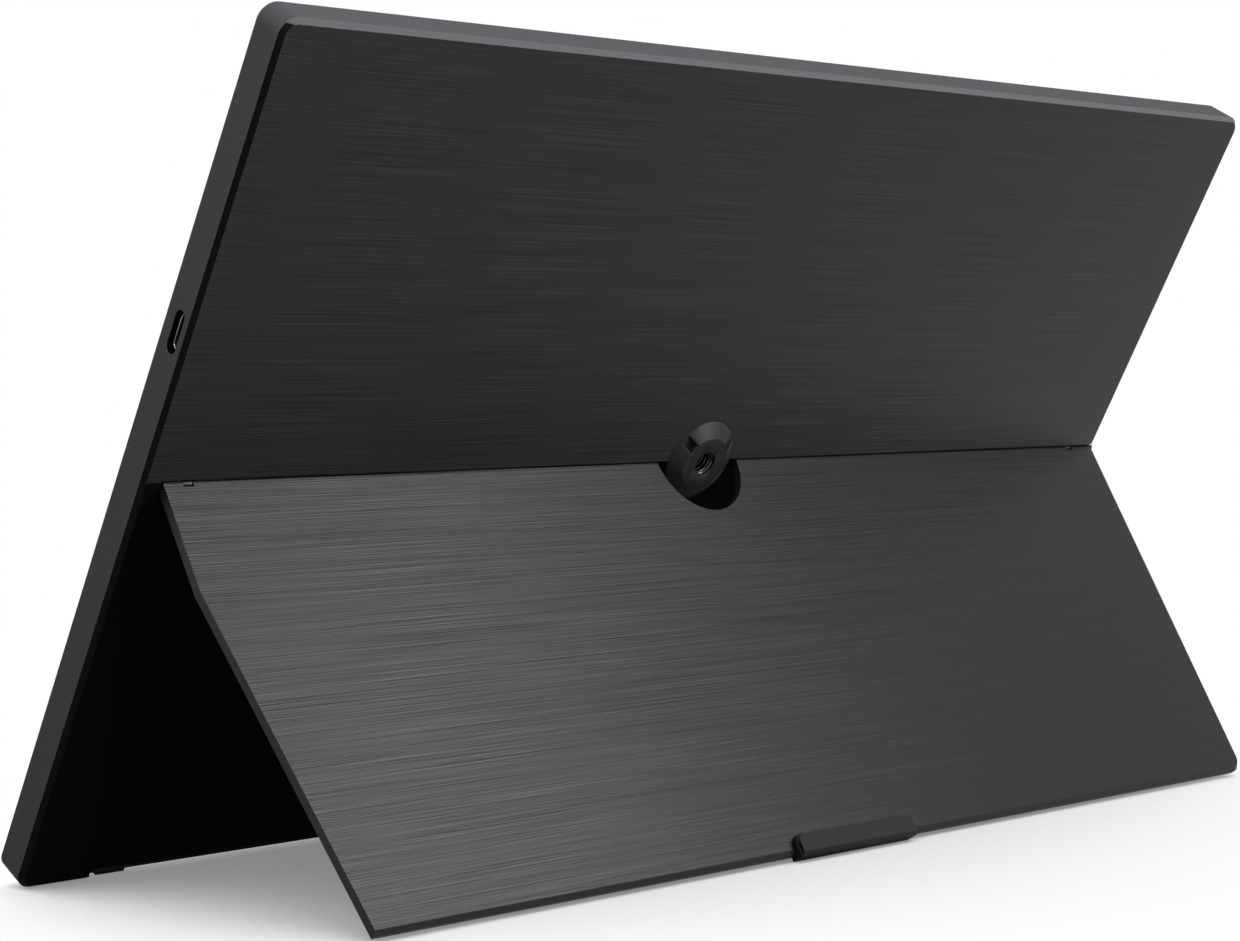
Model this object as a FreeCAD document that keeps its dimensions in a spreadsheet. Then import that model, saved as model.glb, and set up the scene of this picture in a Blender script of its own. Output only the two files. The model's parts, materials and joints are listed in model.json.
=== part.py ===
"""Portable monitor standing on its rear kickstand, as a parametric document in millimetres.

Every piece is drawn upright and closed: X across the case (the port side is +X), Y out of its
back (the rear plane is zero) and Z up its back from the bottom edge. The kickstand is then turned
open about its hinge, the whole is leaned back until foot and stand pad meet the floor, and the
origin goes to the middle of the floor under it.
"""
import FreeCAD, Part
import math
import os
import re
import Sketcher

SIZES = (
    # case
    ("case_width", 359.7, "across the case"),
    ("case_height", 226.4, "bottom edge to top edge"),
    ("case_depth", 9.5, "screen face to rear plane"),
    ("case_corner", 4.5, "radius of the outline's corners"),
    ("rim_chamfer", 1.2, "chamfer round the rear plane"),
    ("side_wall", 1.4, "side walls of the rear cover"),
    ("back_wall", 1.2, "rear wall above the hinge"),
    ("floor_wall", 1.0, "rear wall under the stand's recess"),
    ("step_wall", 1.2, "wall between recess and upper half"),
    ("rib_wall", 1.2, "ribs that back the screen module"),
    ("rib_reach", 60.0, "middle of the case to a rib"),
    ("lower_rib_start", 40.0, "bottom edge to the lower ribs"),
    ("lower_rib_length", 50.0, "length of the lower ribs"),
    ("upper_rib_start", 50.4, "hinge step to the upper ribs"),
    ("upper_rib_end", 13.4, "top edge to the upper ribs"),
    ("least_corner", 0.3, "least radius of an inner corner"),
    ("overrun", 2.0, "how far every cut runs past its wall"),
    # kickstand
    ("stand_thick", 2.5, "thickness of the stand"),
    ("hinge_drop", 114.0, "top edge to the hinge axis"),
    ("stand_margin", 5.85, "port side of the case to the stand's edge"),
    ("stand_kink", 27.7, "hinge axis down to where that edge starts to draw in"),
    ("stand_taper", 15.2, "how far that edge draws in at the foot"),
    ("stand_gap", 0.6, "gap beside the stand in its recess"),
    ("hinge_gap", 0.35, "gap above the stand's round edge"),
    ("floor_gap", 0.15, "gap under the closed stand"),
    ("stand_open_angle", 58.87, "opening of the stand as it stands, degrees"),
    ("skin_thick", 0.4, "brushed face sheet"),
    ("skin_fit", 0.05, "gap round the face sheet"),
    ("notch_radius", 15.3, "notch round the tripod nose"),
    ("notch_rise", 0.15, "notch centre above the hinge axis"),
    ("pad_width", 45.0, "rubber pad at the stand's foot"),
    ("pad_rise", 4.9, "pad up the stand's face"),
    ("pad_lip", 1.1, "pad below the stand's edge"),
    ("pad_proud", 2.2, "pad out of the stand's face"),
    ("pad_step", 1.1, "lower step of the pad out of the stand's face"),
    ("pad_ledge", 0.35, "how far the upper step draws in"),
    ("pad_bevel", 1.0, "bevel along the pad's lower edge"),
    ("pad_corner", 2.5, "radius of the pad's upper corners"),
    ("pad_fit", 0.05, "gap round the pad in its pocket"),
    # hinges
    ("arm_margin", 11.25, "side of the case to a hinge arm"),
    ("arm_width", 2.6, "width of a hinge arm and its eye"),
    ("arm_play", 0.2, "gap beside a hinge arm"),
    ("eye_radius", 1.2, "outside of a hinge arm's eye"),
    ("eye_clear", 0.25, "gap under the eye in the stand's slot"),
    ("shaft_radius", 0.6, "hinge shaft"),
    ("shaft_fit", 0.03, "running clearance of the shaft in its eye"),
    ("shaft_outer", 4.2, "shaft past the outer side of the arm"),
    ("shaft_inner", 9.0, "shaft past the inner side of the arm"),
    ("link_width", 6.0, "web between shaft and tang"),
    ("link_drop", 1.6, "web below the hinge axis"),
    ("tang_width", 24.0, "flat of the shaft that is screwed to the stand"),
    ("tang_drop", 12.0, "tang below the hinge axis"),
    ("tang_thick", 0.6, "tang sheet"),
    ("tang_fit", 0.1, "gap round the tang in its pocket"),
    ("bracket_width", 20.0, "hinge bracket across"),
    ("bracket_rise", 14.0, "hinge bracket up the case"),
    ("bracket_start", 1.0, "bracket above the step wall"),
    ("bracket_outer", 6.0, "bracket past the outer side of its arm"),
    ("bracket_thick", 0.8, "bracket sheet"),
    ("bracket_post", 0.5, "posts that carry the bracket"),
    # screws
    ("screw_radius", 0.6, "shank of the small screws"),
    ("screw_head", 1.3, "radius of their heads"),
    ("screw_head_rise", 0.5, "height of their heads"),
    ("screw_fit", 0.05, "clearance round a shank"),
    ("screw_slot", 0.35, "driver slot across the head"),
    ("screw_slot_deep", 0.25, "depth of the driver slot"),
    ("screw_edge", 2.6, "screw centre to a sheet's edge"),
    ("post_radius", 2.0, "screw posts"),
    ("bracket_bite", 1.2, "screw past the bracket's sheet"),
    ("board_bite", 1.3, "screw past the main board"),
    ("nose_bite", 1.6, "screw past the tripod nose's flange"),
    ("tang_bite", 0.8, "screw past the stand's tang"),
    # tripod socket
    ("nose_rise", 1.65, "tripod nose centre above the hinge axis"),
    ("nose_base", 11.9, "radius of the nose at the rear plane"),
    ("nose_face", 7.8, "radius of its flat face"),
    ("nose_proud", 2.4, "face out of the rear plane"),
    ("nose_fit", 0.1, "gap round the nose in the cover"),
    ("nose_flange", 16.6, "radius of the flange inside"),
    ("nose_flange_thick", 1.0, "flange inside"),
    ("nose_screw_circle", 14.3, "radius on which its screws stand"),
    ("nose_screw_angle", 45.0, "its screws above the level, degrees"),
    ("key_slot_width", 2.8, "two locating slots in the nose"),
    ("key_slot_angle", 37.0, "locating slots above the level, degrees"),
    ("key_slot_floor", 0.3, "floor of the slots above the rear plane"),
    ("key_slot_nick", 0.3, "slots into the edge of the flat face"),
    ("mouth_radius", 3.4, "mouth of the socket in the face"),
    ("nut_set_in", 0.7, "threaded insert below the face"),
    ("nut_radius", 4.4, "outside of the insert"),
    ("nut_length", 5.6, "length of the insert"),
    ("nut_fit", 0.02, "clearance of the insert in the nose"),
    ("thread_radius", 2.6, "bore of a quarter-inch tripod thread"),
    ("thread_depth", 5.0, "depth of the bore"),
    # feet
    ("foot_margin", 24.6, "side of the case to a rubber foot"),
    ("foot_width", 8.3, "foot along the edge"),
    ("foot_heel", 0.25, "foot in front of the recess floor"),
    ("foot_depth", 3.6, "foot from heel to toe"),
    ("foot_drop", 1.15, "foot below the bottom edge at its heel"),
    ("foot_facet", 0.8, "flat on which the foot stands"),
    ("foot_set_in", 0.4, "foot into the bottom wall"),
    ("foot_fit", 0.05, "gap round the foot in its pocket"),
    # screen
    ("side_border", 7.75, "side of the case to the picture"),
    ("top_border", 8.0, "top edge to the picture"),
    ("chin_border", 24.8, "bottom edge to the picture"),
    ("window_gap", 0.6, "picture to the bezel's window"),
    ("bezel_lip", 0.6, "bezel's face sheet"),
    ("bezel_fit", 0.1, "gap round the bezel in the cover"),
    ("skirt_wall", 1.0, "wall behind the bezel's edge"),
    ("skirt_deep", 2.1, "depth of that wall"),
    ("lip_gap", 0.05, "bezel to screen glass"),
    ("cell_border", 2.6, "glass past the picture at sides and top"),
    ("cell_chin", 8.4, "glass below the picture"),
    ("cell_thick", 0.9, "screen glass"),
    ("prism_thick", 0.15, "prism sheet"),
    ("diffuser_thick", 0.15, "diffuser sheet"),
    ("guide_thick", 0.6, "light guide"),
    ("reflector_thick", 0.15, "reflector sheet"),
    ("tray_thick", 0.3, "metal tray's floor"),
    ("tray_rim", 0.5, "metal tray's rim"),
    ("sheet_margin", 1.2, "optical sheets past the picture"),
    ("strip_thick", 0.4, "light strip's carrier"),
    ("lamp_width", 3.0, "one lamp of the strip"),
    ("lamp_deep", 0.9, "lamp towards the light guide"),
    ("lamp_gap", 0.1, "lamp to light guide"),
    ("lamp_tall", 0.5, "lamp through the guide's thickness"),
    # electronics
    ("timing_margin", 54.7, "end of the glass to the end of the screen's driver board"),
    ("timing_height", 10.0, "screen's driver board up"),
    ("timing_start", 4.0, "driver board above the glass's lower edge"),
    ("timing_thick", 0.8, "driver board"),
    ("board_width", 76.0, "main board across"),
    ("board_height", 60.0, "main board up"),
    ("board_start", 17.4, "hinge step to the main board"),
    ("board_thick", 1.0, "main board"),
    ("board_post", 0.8, "posts that carry the main board"),
    ("board_edge", 2.0, "main board from the side wall"),
    ("shield_width", 34.0, "shield across"),
    ("shield_height", 30.0, "shield up"),
    ("shield_rise", 1.8, "shield off the board"),
    ("shield_wall", 0.2, "shield sheet"),
    ("chip_side", 14.0, "picture processor"),
    ("chip_rise", 1.0, "picture processor off the board"),
    ("memory_wide", 9.0, "memory and power chips across"),
    ("memory_tall", 7.0, "memory and power chips up"),
    ("socket_rise", 1.0, "cable sockets off their boards"),
    ("socket_deep", 3.0, "cable sockets along the cable"),
    ("socket_margin", 1.0, "cable sockets past the cable's edges"),
    ("cable_thick", 0.15, "flat cables"),
    ("panel_cable_width", 12.0, "screen cable"),
    ("panel_cable_edge", 8.55, "inner end of the main board to the screen cable"),
    ("cable_ramp", 9.0, "length over which a flat cable changes level"),
    ("key_cable_width", 5.0, "key cable"),
    ("key_cable_start", 30.4, "hinge step to the key cable"),
    # power and picture socket
    ("port_start", 34.4, "hinge step to the port"),
    ("port_depth", 4.6, "rear plane to the port's middle"),
    ("port_gap", 0.9, "opening past the port's shell along the edge"),
    ("port_slit", 0.2, "opening past the port's shell through the depth"),
    ("shell_wide", 8.94, "port shell along the edge"),
    ("shell_tall", 3.2, "port shell through the depth"),
    ("shell_wall", 0.3, "port shell"),
    ("shell_length", 6.6, "port shell into the case"),
    ("shell_set_in", 1.5, "port shell behind the side face"),
    ("tongue_wide", 6.7, "port tongue"),
    ("tongue_tall", 0.7, "port tongue"),
    ("tongue_set_in", 0.8, "port tongue behind the shell's mouth"),
    # keys
    ("key_start", 25.4, "hinge step to the first key's middle"),
    ("key_pitch", 13.0, "key to key"),
    ("key_long", 8.6, "key along the edge"),
    ("key_wide", 2.4, "key through the depth"),
    ("key_depth", 4.6, "rear plane to the keys' middle"),
    ("key_proud", 0.5, "key out of the side face"),
    ("key_fit", 0.15, "gap round a key"),
    ("key_rest", 0.05, "key flange to side wall"),
    ("key_flange", 0.7, "flange that keeps a key in"),
    ("key_flange_edge", 0.5, "flange past the key's slot"),
    ("key_plunger", 0.5, "plunger behind a key"),
    ("key_plunger_side", 1.6, "plunger across"),
    ("key_travel", 0.4, "travel of a key"),
    ("key_spare", 0.1, "plunger to switch at full travel"),
    ("switch_side", 3.2, "switch under a key"),
    ("switch_deep", 1.6, "switch off its board"),
    ("key_board_thick", 0.8, "board that carries the switches"),
    ("key_board_end", 7.0, "that board past the end keys"),
)
KEY_NAMES = ("power_key", "menu_key", "up_key", "down_key")
LAMP_COUNT = 48
CHIP_SHARES = ((0.16, 0.2), (0.16, 0.62), (0.5, 0.13), (0.84, 0.2))

SIDES = (1, -1)
NEAR = 1e-6
HALF = "(case_width / 2)"
MIDDLE = "(-stand_thick / 2)"
RECESS = "(-stand_thick - floor_gap)"
FLOOR = f"({RECESS} - floor_wall)"
AXIS = "(case_height - hinge_drop)"
STEP_LOW = f"({AXIS} + stand_thick / 2 + hinge_gap)"
STEP_HIGH = f"({STEP_LOW} + step_wall)"
STAND_EDGE = f"({HALF} - stand_margin)"
STAND_FOOT = f"({STAND_EDGE} - stand_taper)"
KINK = f"({AXIS} - stand_kink)"
NOSE = f"({AXIS} + nose_rise)"
PICTURE_SIDE = f"({HALF} - side_border)"
PICTURE_TOP = "(case_height - top_border)"
CELL_FRONT = "(-case_depth + bezel_lip + lip_gap)"
CELL_BACK = f"({CELL_FRONT} + cell_thick)"
CELL_SIDE = f"({PICTURE_SIDE} + cell_border)"
CELL_LOW = "(chin_border - cell_chin)"
CELL_HIGH = f"({PICTURE_TOP} + cell_border)"
SHEET_SIDE = f"({PICTURE_SIDE} + sheet_margin)"
SHEET_HIGH = f"({PICTURE_TOP} + sheet_margin)"
STRIP_LOW = f"({CELL_LOW} + tray_rim)"
SHEET_LOW = f"({STRIP_LOW} + strip_thick + lamp_deep + lamp_gap)"
GUIDE_FRONT = f"({CELL_BACK} + prism_thick + diffuser_thick)"
TRAY_FRONT = f"({GUIDE_FRONT} + guide_thick + reflector_thick)"
TRAY_BACK = f"({TRAY_FRONT} + tray_thick)"
TIMING_BACK = f"({TRAY_BACK} + timing_thick)"
TIMING_SIDE = f"({CELL_SIDE} - timing_margin)"
TIMING_LOW = f"({CELL_LOW} + timing_start)"
TIMING_HIGH = f"({TIMING_LOW} + timing_height)"
BOARD_BACK = "(-back_wall - board_post)"
BOARD_FRONT = f"({BOARD_BACK} - board_thick)"
BOARD_SLIT = f"({BOARD_FRONT} - socket_rise / 2)"
BOARD_OUTER = f"({HALF} - side_wall - board_edge)"
BOARD_INNER = f"({BOARD_OUTER} - board_width)"
BOARD_LOW = f"({STEP_HIGH} + board_start)"
PANEL_CABLE = f"({BOARD_INNER} + panel_cable_edge)"
KEY_CABLE = f"({STEP_HIGH} + key_cable_start)"
PORT = f"({STEP_HIGH} + port_start)"
ARM_OUTER = f"({HALF} - arm_margin)"
BRACKET_BACK = "(-back_wall - bracket_post)"
BRACKET_FRONT = f"({BRACKET_BACK} - bracket_thick)"
BRACKET_OUTER = f"({ARM_OUTER} + bracket_outer)"
BRACKET_LOW = f"({STEP_HIGH} + bracket_start)"
FLANGE_FRONT = f"({FLOOR} - nose_flange_thick)"
KEY_WALL = f"(-{HALF} + side_wall)"
SWITCH_FACE = f"({KEY_WALL} + key_rest + key_flange + key_plunger + key_travel + key_spare)"
KEY_BOARD = f"({SWITCH_FACE} + switch_deep)"
KEY_BOARD_BACK = f"({KEY_BOARD} + key_board_thick)"
KEY_DEPTH = "(-key_depth)"
PORT_DEPTH = "(-port_depth)"
FOOT_SPAN = (f"{RECESS} - foot_heel - foot_depth", f"{RECESS} - foot_heel")
FOOT_OUTER = f"({HALF} - foot_margin)"
FOOT_INNER = f"({FOOT_OUTER} - foot_width)"
ARM_INNER = f"({ARM_OUTER} - arm_width)"
SHAFT_OUTER = f"({ARM_OUTER} + shaft_outer)"
SHAFT_INNER = f"({ARM_INNER} - shaft_inner)"
TANG_OUTER = f"({SHAFT_INNER} + link_width)"
TANG_FACE = "(-stand_thick + screw_head_rise)"
TANG_BACK = f"({TANG_FACE} + tang_thick)"
LAYERS = (
    ("prism_sheet", "prism_thick"),
    ("diffuser_sheet", "diffuser_thick"),
    ("light_guide", "guide_thick"),
    ("reflector_sheet", "reflector_thick"),
)

# The seam of a round piece lies off the planes about which its neighbours are symmetrical.
SEAM = FreeCAD.Rotation(FreeCAD.Vector(0, 1, 0), 20)
TURNS = {
    "x": FreeCAD.Rotation(FreeCAD.Vector(0, 1, 0), 90),
    "y": SEAM * FreeCAD.Rotation(FreeCAD.Vector(1, 0, 0), -90),
}

doc = FreeCAD.newDocument("portable_monitor")
dims = doc.addObject("Spreadsheet::Sheet", "dims")
ALIASES = {alias for alias, size, note in SIZES}
pieces = {}


def fill_sheet():
    """Write the driving dimensions, one to a row, with their aliases."""
    for row, (alias, amount, note) in enumerate(SIZES, start=1):
        dims.set(f"A{row}", alias)
        dims.set(f"B{row}", str(amount))
        dims.setAlias(f"B{row}", alias)
        dims.set(f"C{row}", note)
    doc.recompute()


def bound(text):
    """An expression whose size names point at the sheet."""
    return re.sub(r"[a-z_]\w*", lambda word: f"dims.{word[0]}" if word[0] in ALIASES else word[0], text)


def size(text):
    """An expression in the sizes as a number."""
    return float(dims.evalExpression(bound(text)))


def bind(thing, prop, text):
    """Tie a property of an object to an expression in the sizes."""
    thing.setExpression(prop, bound(text))


def flipped(side, low, high):
    """The stretch from low to high on the port side, or its mirror image on the other side."""
    return (low, high) if side > 0 else (f"-({high})", f"-({low})")


def about(middle, length):
    """The stretch of a length that lies evenly about a middle."""
    return f"{middle} - ({length}) / 2", f"{middle} + ({length}) / 2"


def inset(stretch, margin):
    """A stretch drawn in by a margin at both ends."""
    return f"{stretch[0]} + {margin}", f"{stretch[1]} - {margin}"


def block(name, x, y, z):
    """A box between two expressions along each axis."""
    box = doc.addObject("Part::Box", name)
    for axis, prop, (low, high) in zip("xyz", ("Length", "Width", "Height"), (x, y, z)):
        bind(box, f"Placement.Base.{axis}", low)
        bind(box, prop, f"({high}) - ({low})")
    return box


def rod(name, along, ends, radius, **at):
    """A cylinder along an axis, from one expression to another."""
    low, high = ends
    bar = doc.addObject("Part::Cylinder", name)
    bar.Placement = FreeCAD.Placement(FreeCAD.Vector(), TURNS[along])
    for axis, place in {**at, along: low}.items():
        bind(bar, f"Placement.Base.{axis}", place)
    bind(bar, "Height", f"({high}) - ({low})")
    bind(bar, "Radius", radius)
    return bar


def fuse(name, shapes):
    """One solid out of several, or several that stand apart in one shape."""
    whole = doc.addObject("Part::MultiFuse", name)
    whole.Shapes = list(shapes)
    whole.Refine = True
    return whole


def cut(name, base, tools):
    """A base with every tool taken out of it."""
    rest = doc.addObject("Part::Cut", name)
    rest.Base = base
    rest.Tool = tools[0] if len(tools) == 1 else fuse(f"{name}_tools", tools)
    rest.Refine = True
    return rest


def group(name, members):
    """Separate solids that share one node."""
    whole = doc.addObject("Part::Compound", name)
    whole.Links = list(members)
    return whole


def outlined(body, name, plane, offset, points):
    """A polygon sketched on one of a body's origin planes, every corner tied to the sheet."""
    sketch = body.newObject("Sketcher::SketchObject", name)
    support = [part for part in body.Origin.OriginFeatures if part.Role == f"{plane}_Plane"][0]
    sketch.AttachmentSupport = (support, [""])
    sketch.MapMode = "FlatFace"
    bind(sketch, "AttachmentOffset.Base.z", offset)
    spots = []
    for across, up in points:
        spots.append(FreeCAD.Vector(size(across), size(up)))
    following = spots[1:] + spots[:1]
    for start, end in zip(spots, following):
        sketch.addGeometry(Part.LineSegment(start, end), False)
    for index, corner in enumerate(points):
        after = (index + 1) % len(points)
        sketch.addConstraint(Sketcher.Constraint("Coincident", index, 2, after, 1))
        for kind, text, start in zip(("DistanceX", "DistanceY"), corner, spots[index]):
            number = sketch.addConstraint(Sketcher.Constraint(kind, -1, 1, index, 1, start))
            bind(sketch, f"Constraints[{number}]", text)
    return sketch


def prism(name, plane, points, ends):
    """A body padded from a polygon on an origin plane, between two places along its normal."""
    low, high = ends
    body = doc.addObject("PartDesign::Body", name)
    offset = f"-({high})" if plane == "XZ" else low
    pad = body.newObject("PartDesign::Pad", f"{name}_pad")
    pad.Profile = outlined(body, f"{name}_outline", plane, offset, points)
    bind(pad, "Length", f"({high}) - ({low})")
    body.Tip = pad
    doc.recompute()
    return body


def rectangle(x, z):
    """The corners of a rectangle between two expressions along each axis."""
    return [(x[0], z[0]), (x[1], z[0]), (x[1], z[1]), (x[0], z[1])]


def through_edge(box):
    """Whether an edge runs straight through the depth."""
    return box.XLength < NEAR and box.ZLength < NEAR


def eased(body, kind, prop, amount, chosen):
    """Fillet or chamfer the edges of a body's tip that a test picks."""
    before = body.Tip
    edges = [f"Edge{n}" for n, edge in enumerate(before.Shape.Edges, start=1) if chosen(edge.BoundBox)]
    feature = body.newObject(f"PartDesign::{kind}", f"{body.Name}_{kind.lower()}")
    feature.Base = (before, edges)
    bind(feature, prop, amount)
    body.Tip = feature
    doc.recompute()
    return body


def plate(name, x, y, z, corner):
    """A plate with its four corners rounded."""
    return eased(prism(name, "XZ", rectangle(x, z), y), "Fillet", "Radius", corner, through_edge)


def stadium(name, x, y, z, long, tall):
    """A bar along X with round ends, long up the case and tall through its depth."""
    reach = f"({long} - {tall}) / 2"
    ends = (f"{z} - {reach}", f"{z} + {reach}")
    parts = [block(f"{name}_web", x, about(y, tall), ends)]
    for end in ends:
        parts.append(rod(f"{name}_end", "x", x, f"{tall} / 2", y=y, z=end))
    return fuse(name, parts)


def screw(name, x, z, seat, bite):
    """A slotted screw driven towards the rear, with its head on the seat."""
    top = f"({seat} - screw_head_rise)"
    head = rod(f"{name}_head", "y", (top, seat), "screw_head", x=x, z=z)
    shank = rod(f"{name}_shank", "y", (f"({top} + {seat}) / 2", f"{seat} + {bite}"), "screw_radius", x=x, z=z)
    across = about(x, "2 * (screw_head + overrun)")
    deep = (f"{top} - overrun", f"{top} + screw_slot_deep")
    slot = block(f"{name}_slot", across, deep, about(z, "screw_slot"))
    return cut(name, fuse(f"{name}_blank", (head, shank)), [slot])


def screws(name, spots, seat, bite):
    """A group of like screws."""
    return group(f"{name}s", [screw(name, x, z, seat, bite) for x, z in spots])


def holes(name, spots, ends):
    """Clearance holes for a group of screws."""
    return [rod(name, "y", ends, "screw_radius + screw_fit", x=x, z=z) for x, z in spots]


def posts(name, spots, foot):
    """Posts for a group of screws, from a seat to the rear wall."""
    return [rod(name, "y", (foot, "-back_wall"), "post_radius", x=x, z=z) for x, z in spots]


def keep(piece, label, body):
    """Name a finished piece and note which body it belongs to.

    A plain box has its place tied to the sheet, so it is held in a shape that can be moved.
    """
    if piece.TypeId == "Part::Box":
        piece = group(f"{label}_held", [piece])
    piece.Label = label
    pieces[label] = (piece, body)


def bracket_spots():
    """Where the hinge brackets are screwed down."""
    right = f"({BRACKET_OUTER} - screw_edge)"
    left = f"({BRACKET_OUTER} - bracket_width + screw_edge)"
    low = f"{BRACKET_LOW} + screw_edge"
    high = f"{BRACKET_LOW} + bracket_rise - screw_edge"
    return [(f"{side} * {x}", z) for side in SIDES for x, z in ((right, high), (left, high), (left, low))]


def board_spots():
    """Where the main board is screwed down."""
    across = (f"{BOARD_OUTER} - screw_edge", f"{BOARD_INNER} + screw_edge")
    up = (f"{BOARD_LOW} + screw_edge", f"{BOARD_LOW} + board_height - screw_edge")
    return [(x, z) for x in across for z in up]


def nose_spots():
    """Where the tripod nose's flange is screwed down."""
    level = "nose_screw_circle * cos(nose_screw_angle)"
    rise = f"{NOSE} + nose_screw_circle * sin(nose_screw_angle)"
    return [(f"{side} * {level}", rise) for side in SIDES]


def tang_spots():
    """Where the tangs of the hinge shafts are screwed to the stand."""
    places = (f"({TANG_OUTER} - screw_edge)", f"({TANG_OUTER} - tang_width + screw_edge)")
    return [(f"{side} * {x}", f"{AXIS} - tang_drop + screw_edge") for side in SIDES for x in places]


def key_middle(index):
    """Height of a key above the bottom edge."""
    return f"({STEP_HIGH} + key_start + {index} * key_pitch)"


def arm_slot(name, side, y, z):
    """The slot that a hinge arm swings or passes through."""
    return block(name, flipped(side, f"{ARM_INNER} - arm_play", f"{ARM_OUTER} + arm_play"), y, z)


def pad_tab(name, y, margin):
    """The pad's outline on the stand's face, with its upper corners rounded."""
    across = about("0", f"pad_width + 2 * {margin}")
    body = prism(name, "XZ", rectangle(across, ("-pad_lip", f"pad_rise + {margin}")), y)
    top = size(f"pad_rise + {margin}")
    corner = f"pad_corner + {margin}"
    return eased(body, "Fillet", "Radius", corner, lambda box: through_edge(box) and box.ZMin > top - NEAR)


def cover_blank():
    """The rear cover's outside with its two hollows and the stand's recess taken out."""
    full = (f"-{HALF}", HALF)
    outside = plate("cover_outside", full, ("-case_depth", "0"), ("0", "case_height"), "case_corner")
    eased(outside, "Chamfer", "Size", "rim_chamfer", lambda box: box.YMin > -NEAR)
    corner = "max(case_corner - side_wall; least_corner)"
    front = "-case_depth - overrun"
    within = inset(full, "side_wall")
    top = "case_height - side_wall"
    low = plate("cover_hollow", within, (front, FLOOR), ("side_wall", top), corner)
    high = plate("cover_upper_hollow", within, (front, "-back_wall"), (STEP_HIGH, top), corner)
    foot = f"{STAND_FOOT} + stand_gap"
    shoulder = f"{STAND_EDGE} + stand_gap"
    open_side = f"-{HALF} - overrun"
    outline = [
        (open_side, "-overrun"),
        (foot, "-overrun"),
        (foot, "0"),
        (shoulder, KINK),
        (shoulder, STEP_LOW),
        (open_side, STEP_LOW),
    ]
    recess = prism("cover_recess", "XZ", outline, (RECESS, "overrun"))
    return cut("cover_blank", outside, [low, high, recess])


def cover_inside():
    """Posts and ribs that stand on the rear cover's inner faces."""
    parts = []
    lower = ("lower_rib_start", "lower_rib_start + lower_rib_length")
    upper = (f"{STEP_HIGH} + upper_rib_start", "case_height - upper_rib_end")
    for side in SIDES:
        across = flipped(side, "rib_reach", "rib_reach + rib_wall")
        parts.append(block("cover_lower_rib", across, (TRAY_BACK, FLOOR), lower))
        parts.append(block("cover_upper_rib", across, (TRAY_BACK, "-back_wall"), upper))
    parts += posts("bracket_post", bracket_spots(), BRACKET_BACK)
    parts += posts("main_board_post", board_spots(), BOARD_BACK)
    parts += posts("nose_post", nose_spots(), FLOOR)
    return parts


def cover_openings():
    """Openings in the rear cover for the tripod nose, the port, the keys, the arms and the feet."""
    neck = (f"{FLOOR} - overrun", "overrun")
    tools = [rod("nose_hole", "y", neck, "nose_base + nose_fit", x="0", z=NOSE)]
    port_side = (f"{HALF} - side_wall - overrun", f"{HALF} + overrun")
    long = "(shell_wide + 2 * port_gap)"
    tall = "(shell_tall + 2 * port_slit)"
    tools.append(stadium("port_hole", port_side, PORT_DEPTH, PORT, long, tall))
    key_side = (f"-{HALF} - overrun", f"{KEY_WALL} + overrun")
    long = "(key_long + 2 * key_fit)"
    tall = "(key_wide + 2 * key_fit)"
    for index, name in enumerate(KEY_NAMES):
        tools.append(stadium(f"{name}_hole", key_side, KEY_DEPTH, key_middle(index), long, tall))
    passage = (f"{STEP_LOW} - overrun", f"{STEP_HIGH} + overrun")
    pocket = inset(FOOT_SPAN, "(-foot_fit)")
    for side in SIDES:
        tools.append(arm_slot("cover_arm_slot", side, (RECESS, f"{BRACKET_BACK} + arm_play"), passage))
        across = flipped(side, *inset((FOOT_INNER, FOOT_OUTER), "(-foot_fit)"))
        tools.append(block("foot_pocket", across, pocket, ("-overrun", "foot_set_in")))
    return tools


def rear_cover():
    """The cover that is the case's back, sides and stand recess."""
    solid = fuse("cover_solid", [cover_blank()] + cover_inside())
    tools = cover_openings()
    deep = f"{BRACKET_BACK} + bracket_bite + screw_fit"
    tools += holes("bracket_pilot", bracket_spots(), (f"{BRACKET_BACK} - overrun", deep))
    deep = f"{BOARD_BACK} + board_bite + screw_fit"
    tools += holes("board_pilot", board_spots(), (f"{BOARD_BACK} - overrun", deep))
    deep = f"{FLOOR} + nose_bite + screw_fit"
    tools += holes("nose_pilot", nose_spots(), (f"{FLOOR} - overrun", deep))
    keep(cut("cover", solid, tools), "rear_cover", "display")


def front_bezel():
    """The frame round the picture, with the wall behind its edge."""
    edge = "(side_wall + bezel_fit)"
    across = inset((f"-{HALF}", HALF), edge)
    up = inset(("0", "case_height"), edge)
    back = "-case_depth + bezel_lip + skirt_deep"
    corner = "max(case_corner - side_wall - bezel_fit; least_corner)"
    frame = plate("bezel_outside", across, ("-case_depth", back), up, corner)
    deep = ("-case_depth + bezel_lip", f"{back} + overrun")
    hollow = block("bezel_inside", inset(across, "skirt_wall"), deep, inset(up, "skirt_wall"))
    wide = inset((f"-{PICTURE_SIDE}", PICTURE_SIDE), "(-window_gap)")
    tall = inset(("chin_border", PICTURE_TOP), "(-window_gap)")
    window = block("bezel_window", wide, ("-case_depth - overrun", "-case_depth + bezel_lip + overrun"), tall)
    keep(cut("bezel", frame, [hollow, window]), "front_bezel", "display")


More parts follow.
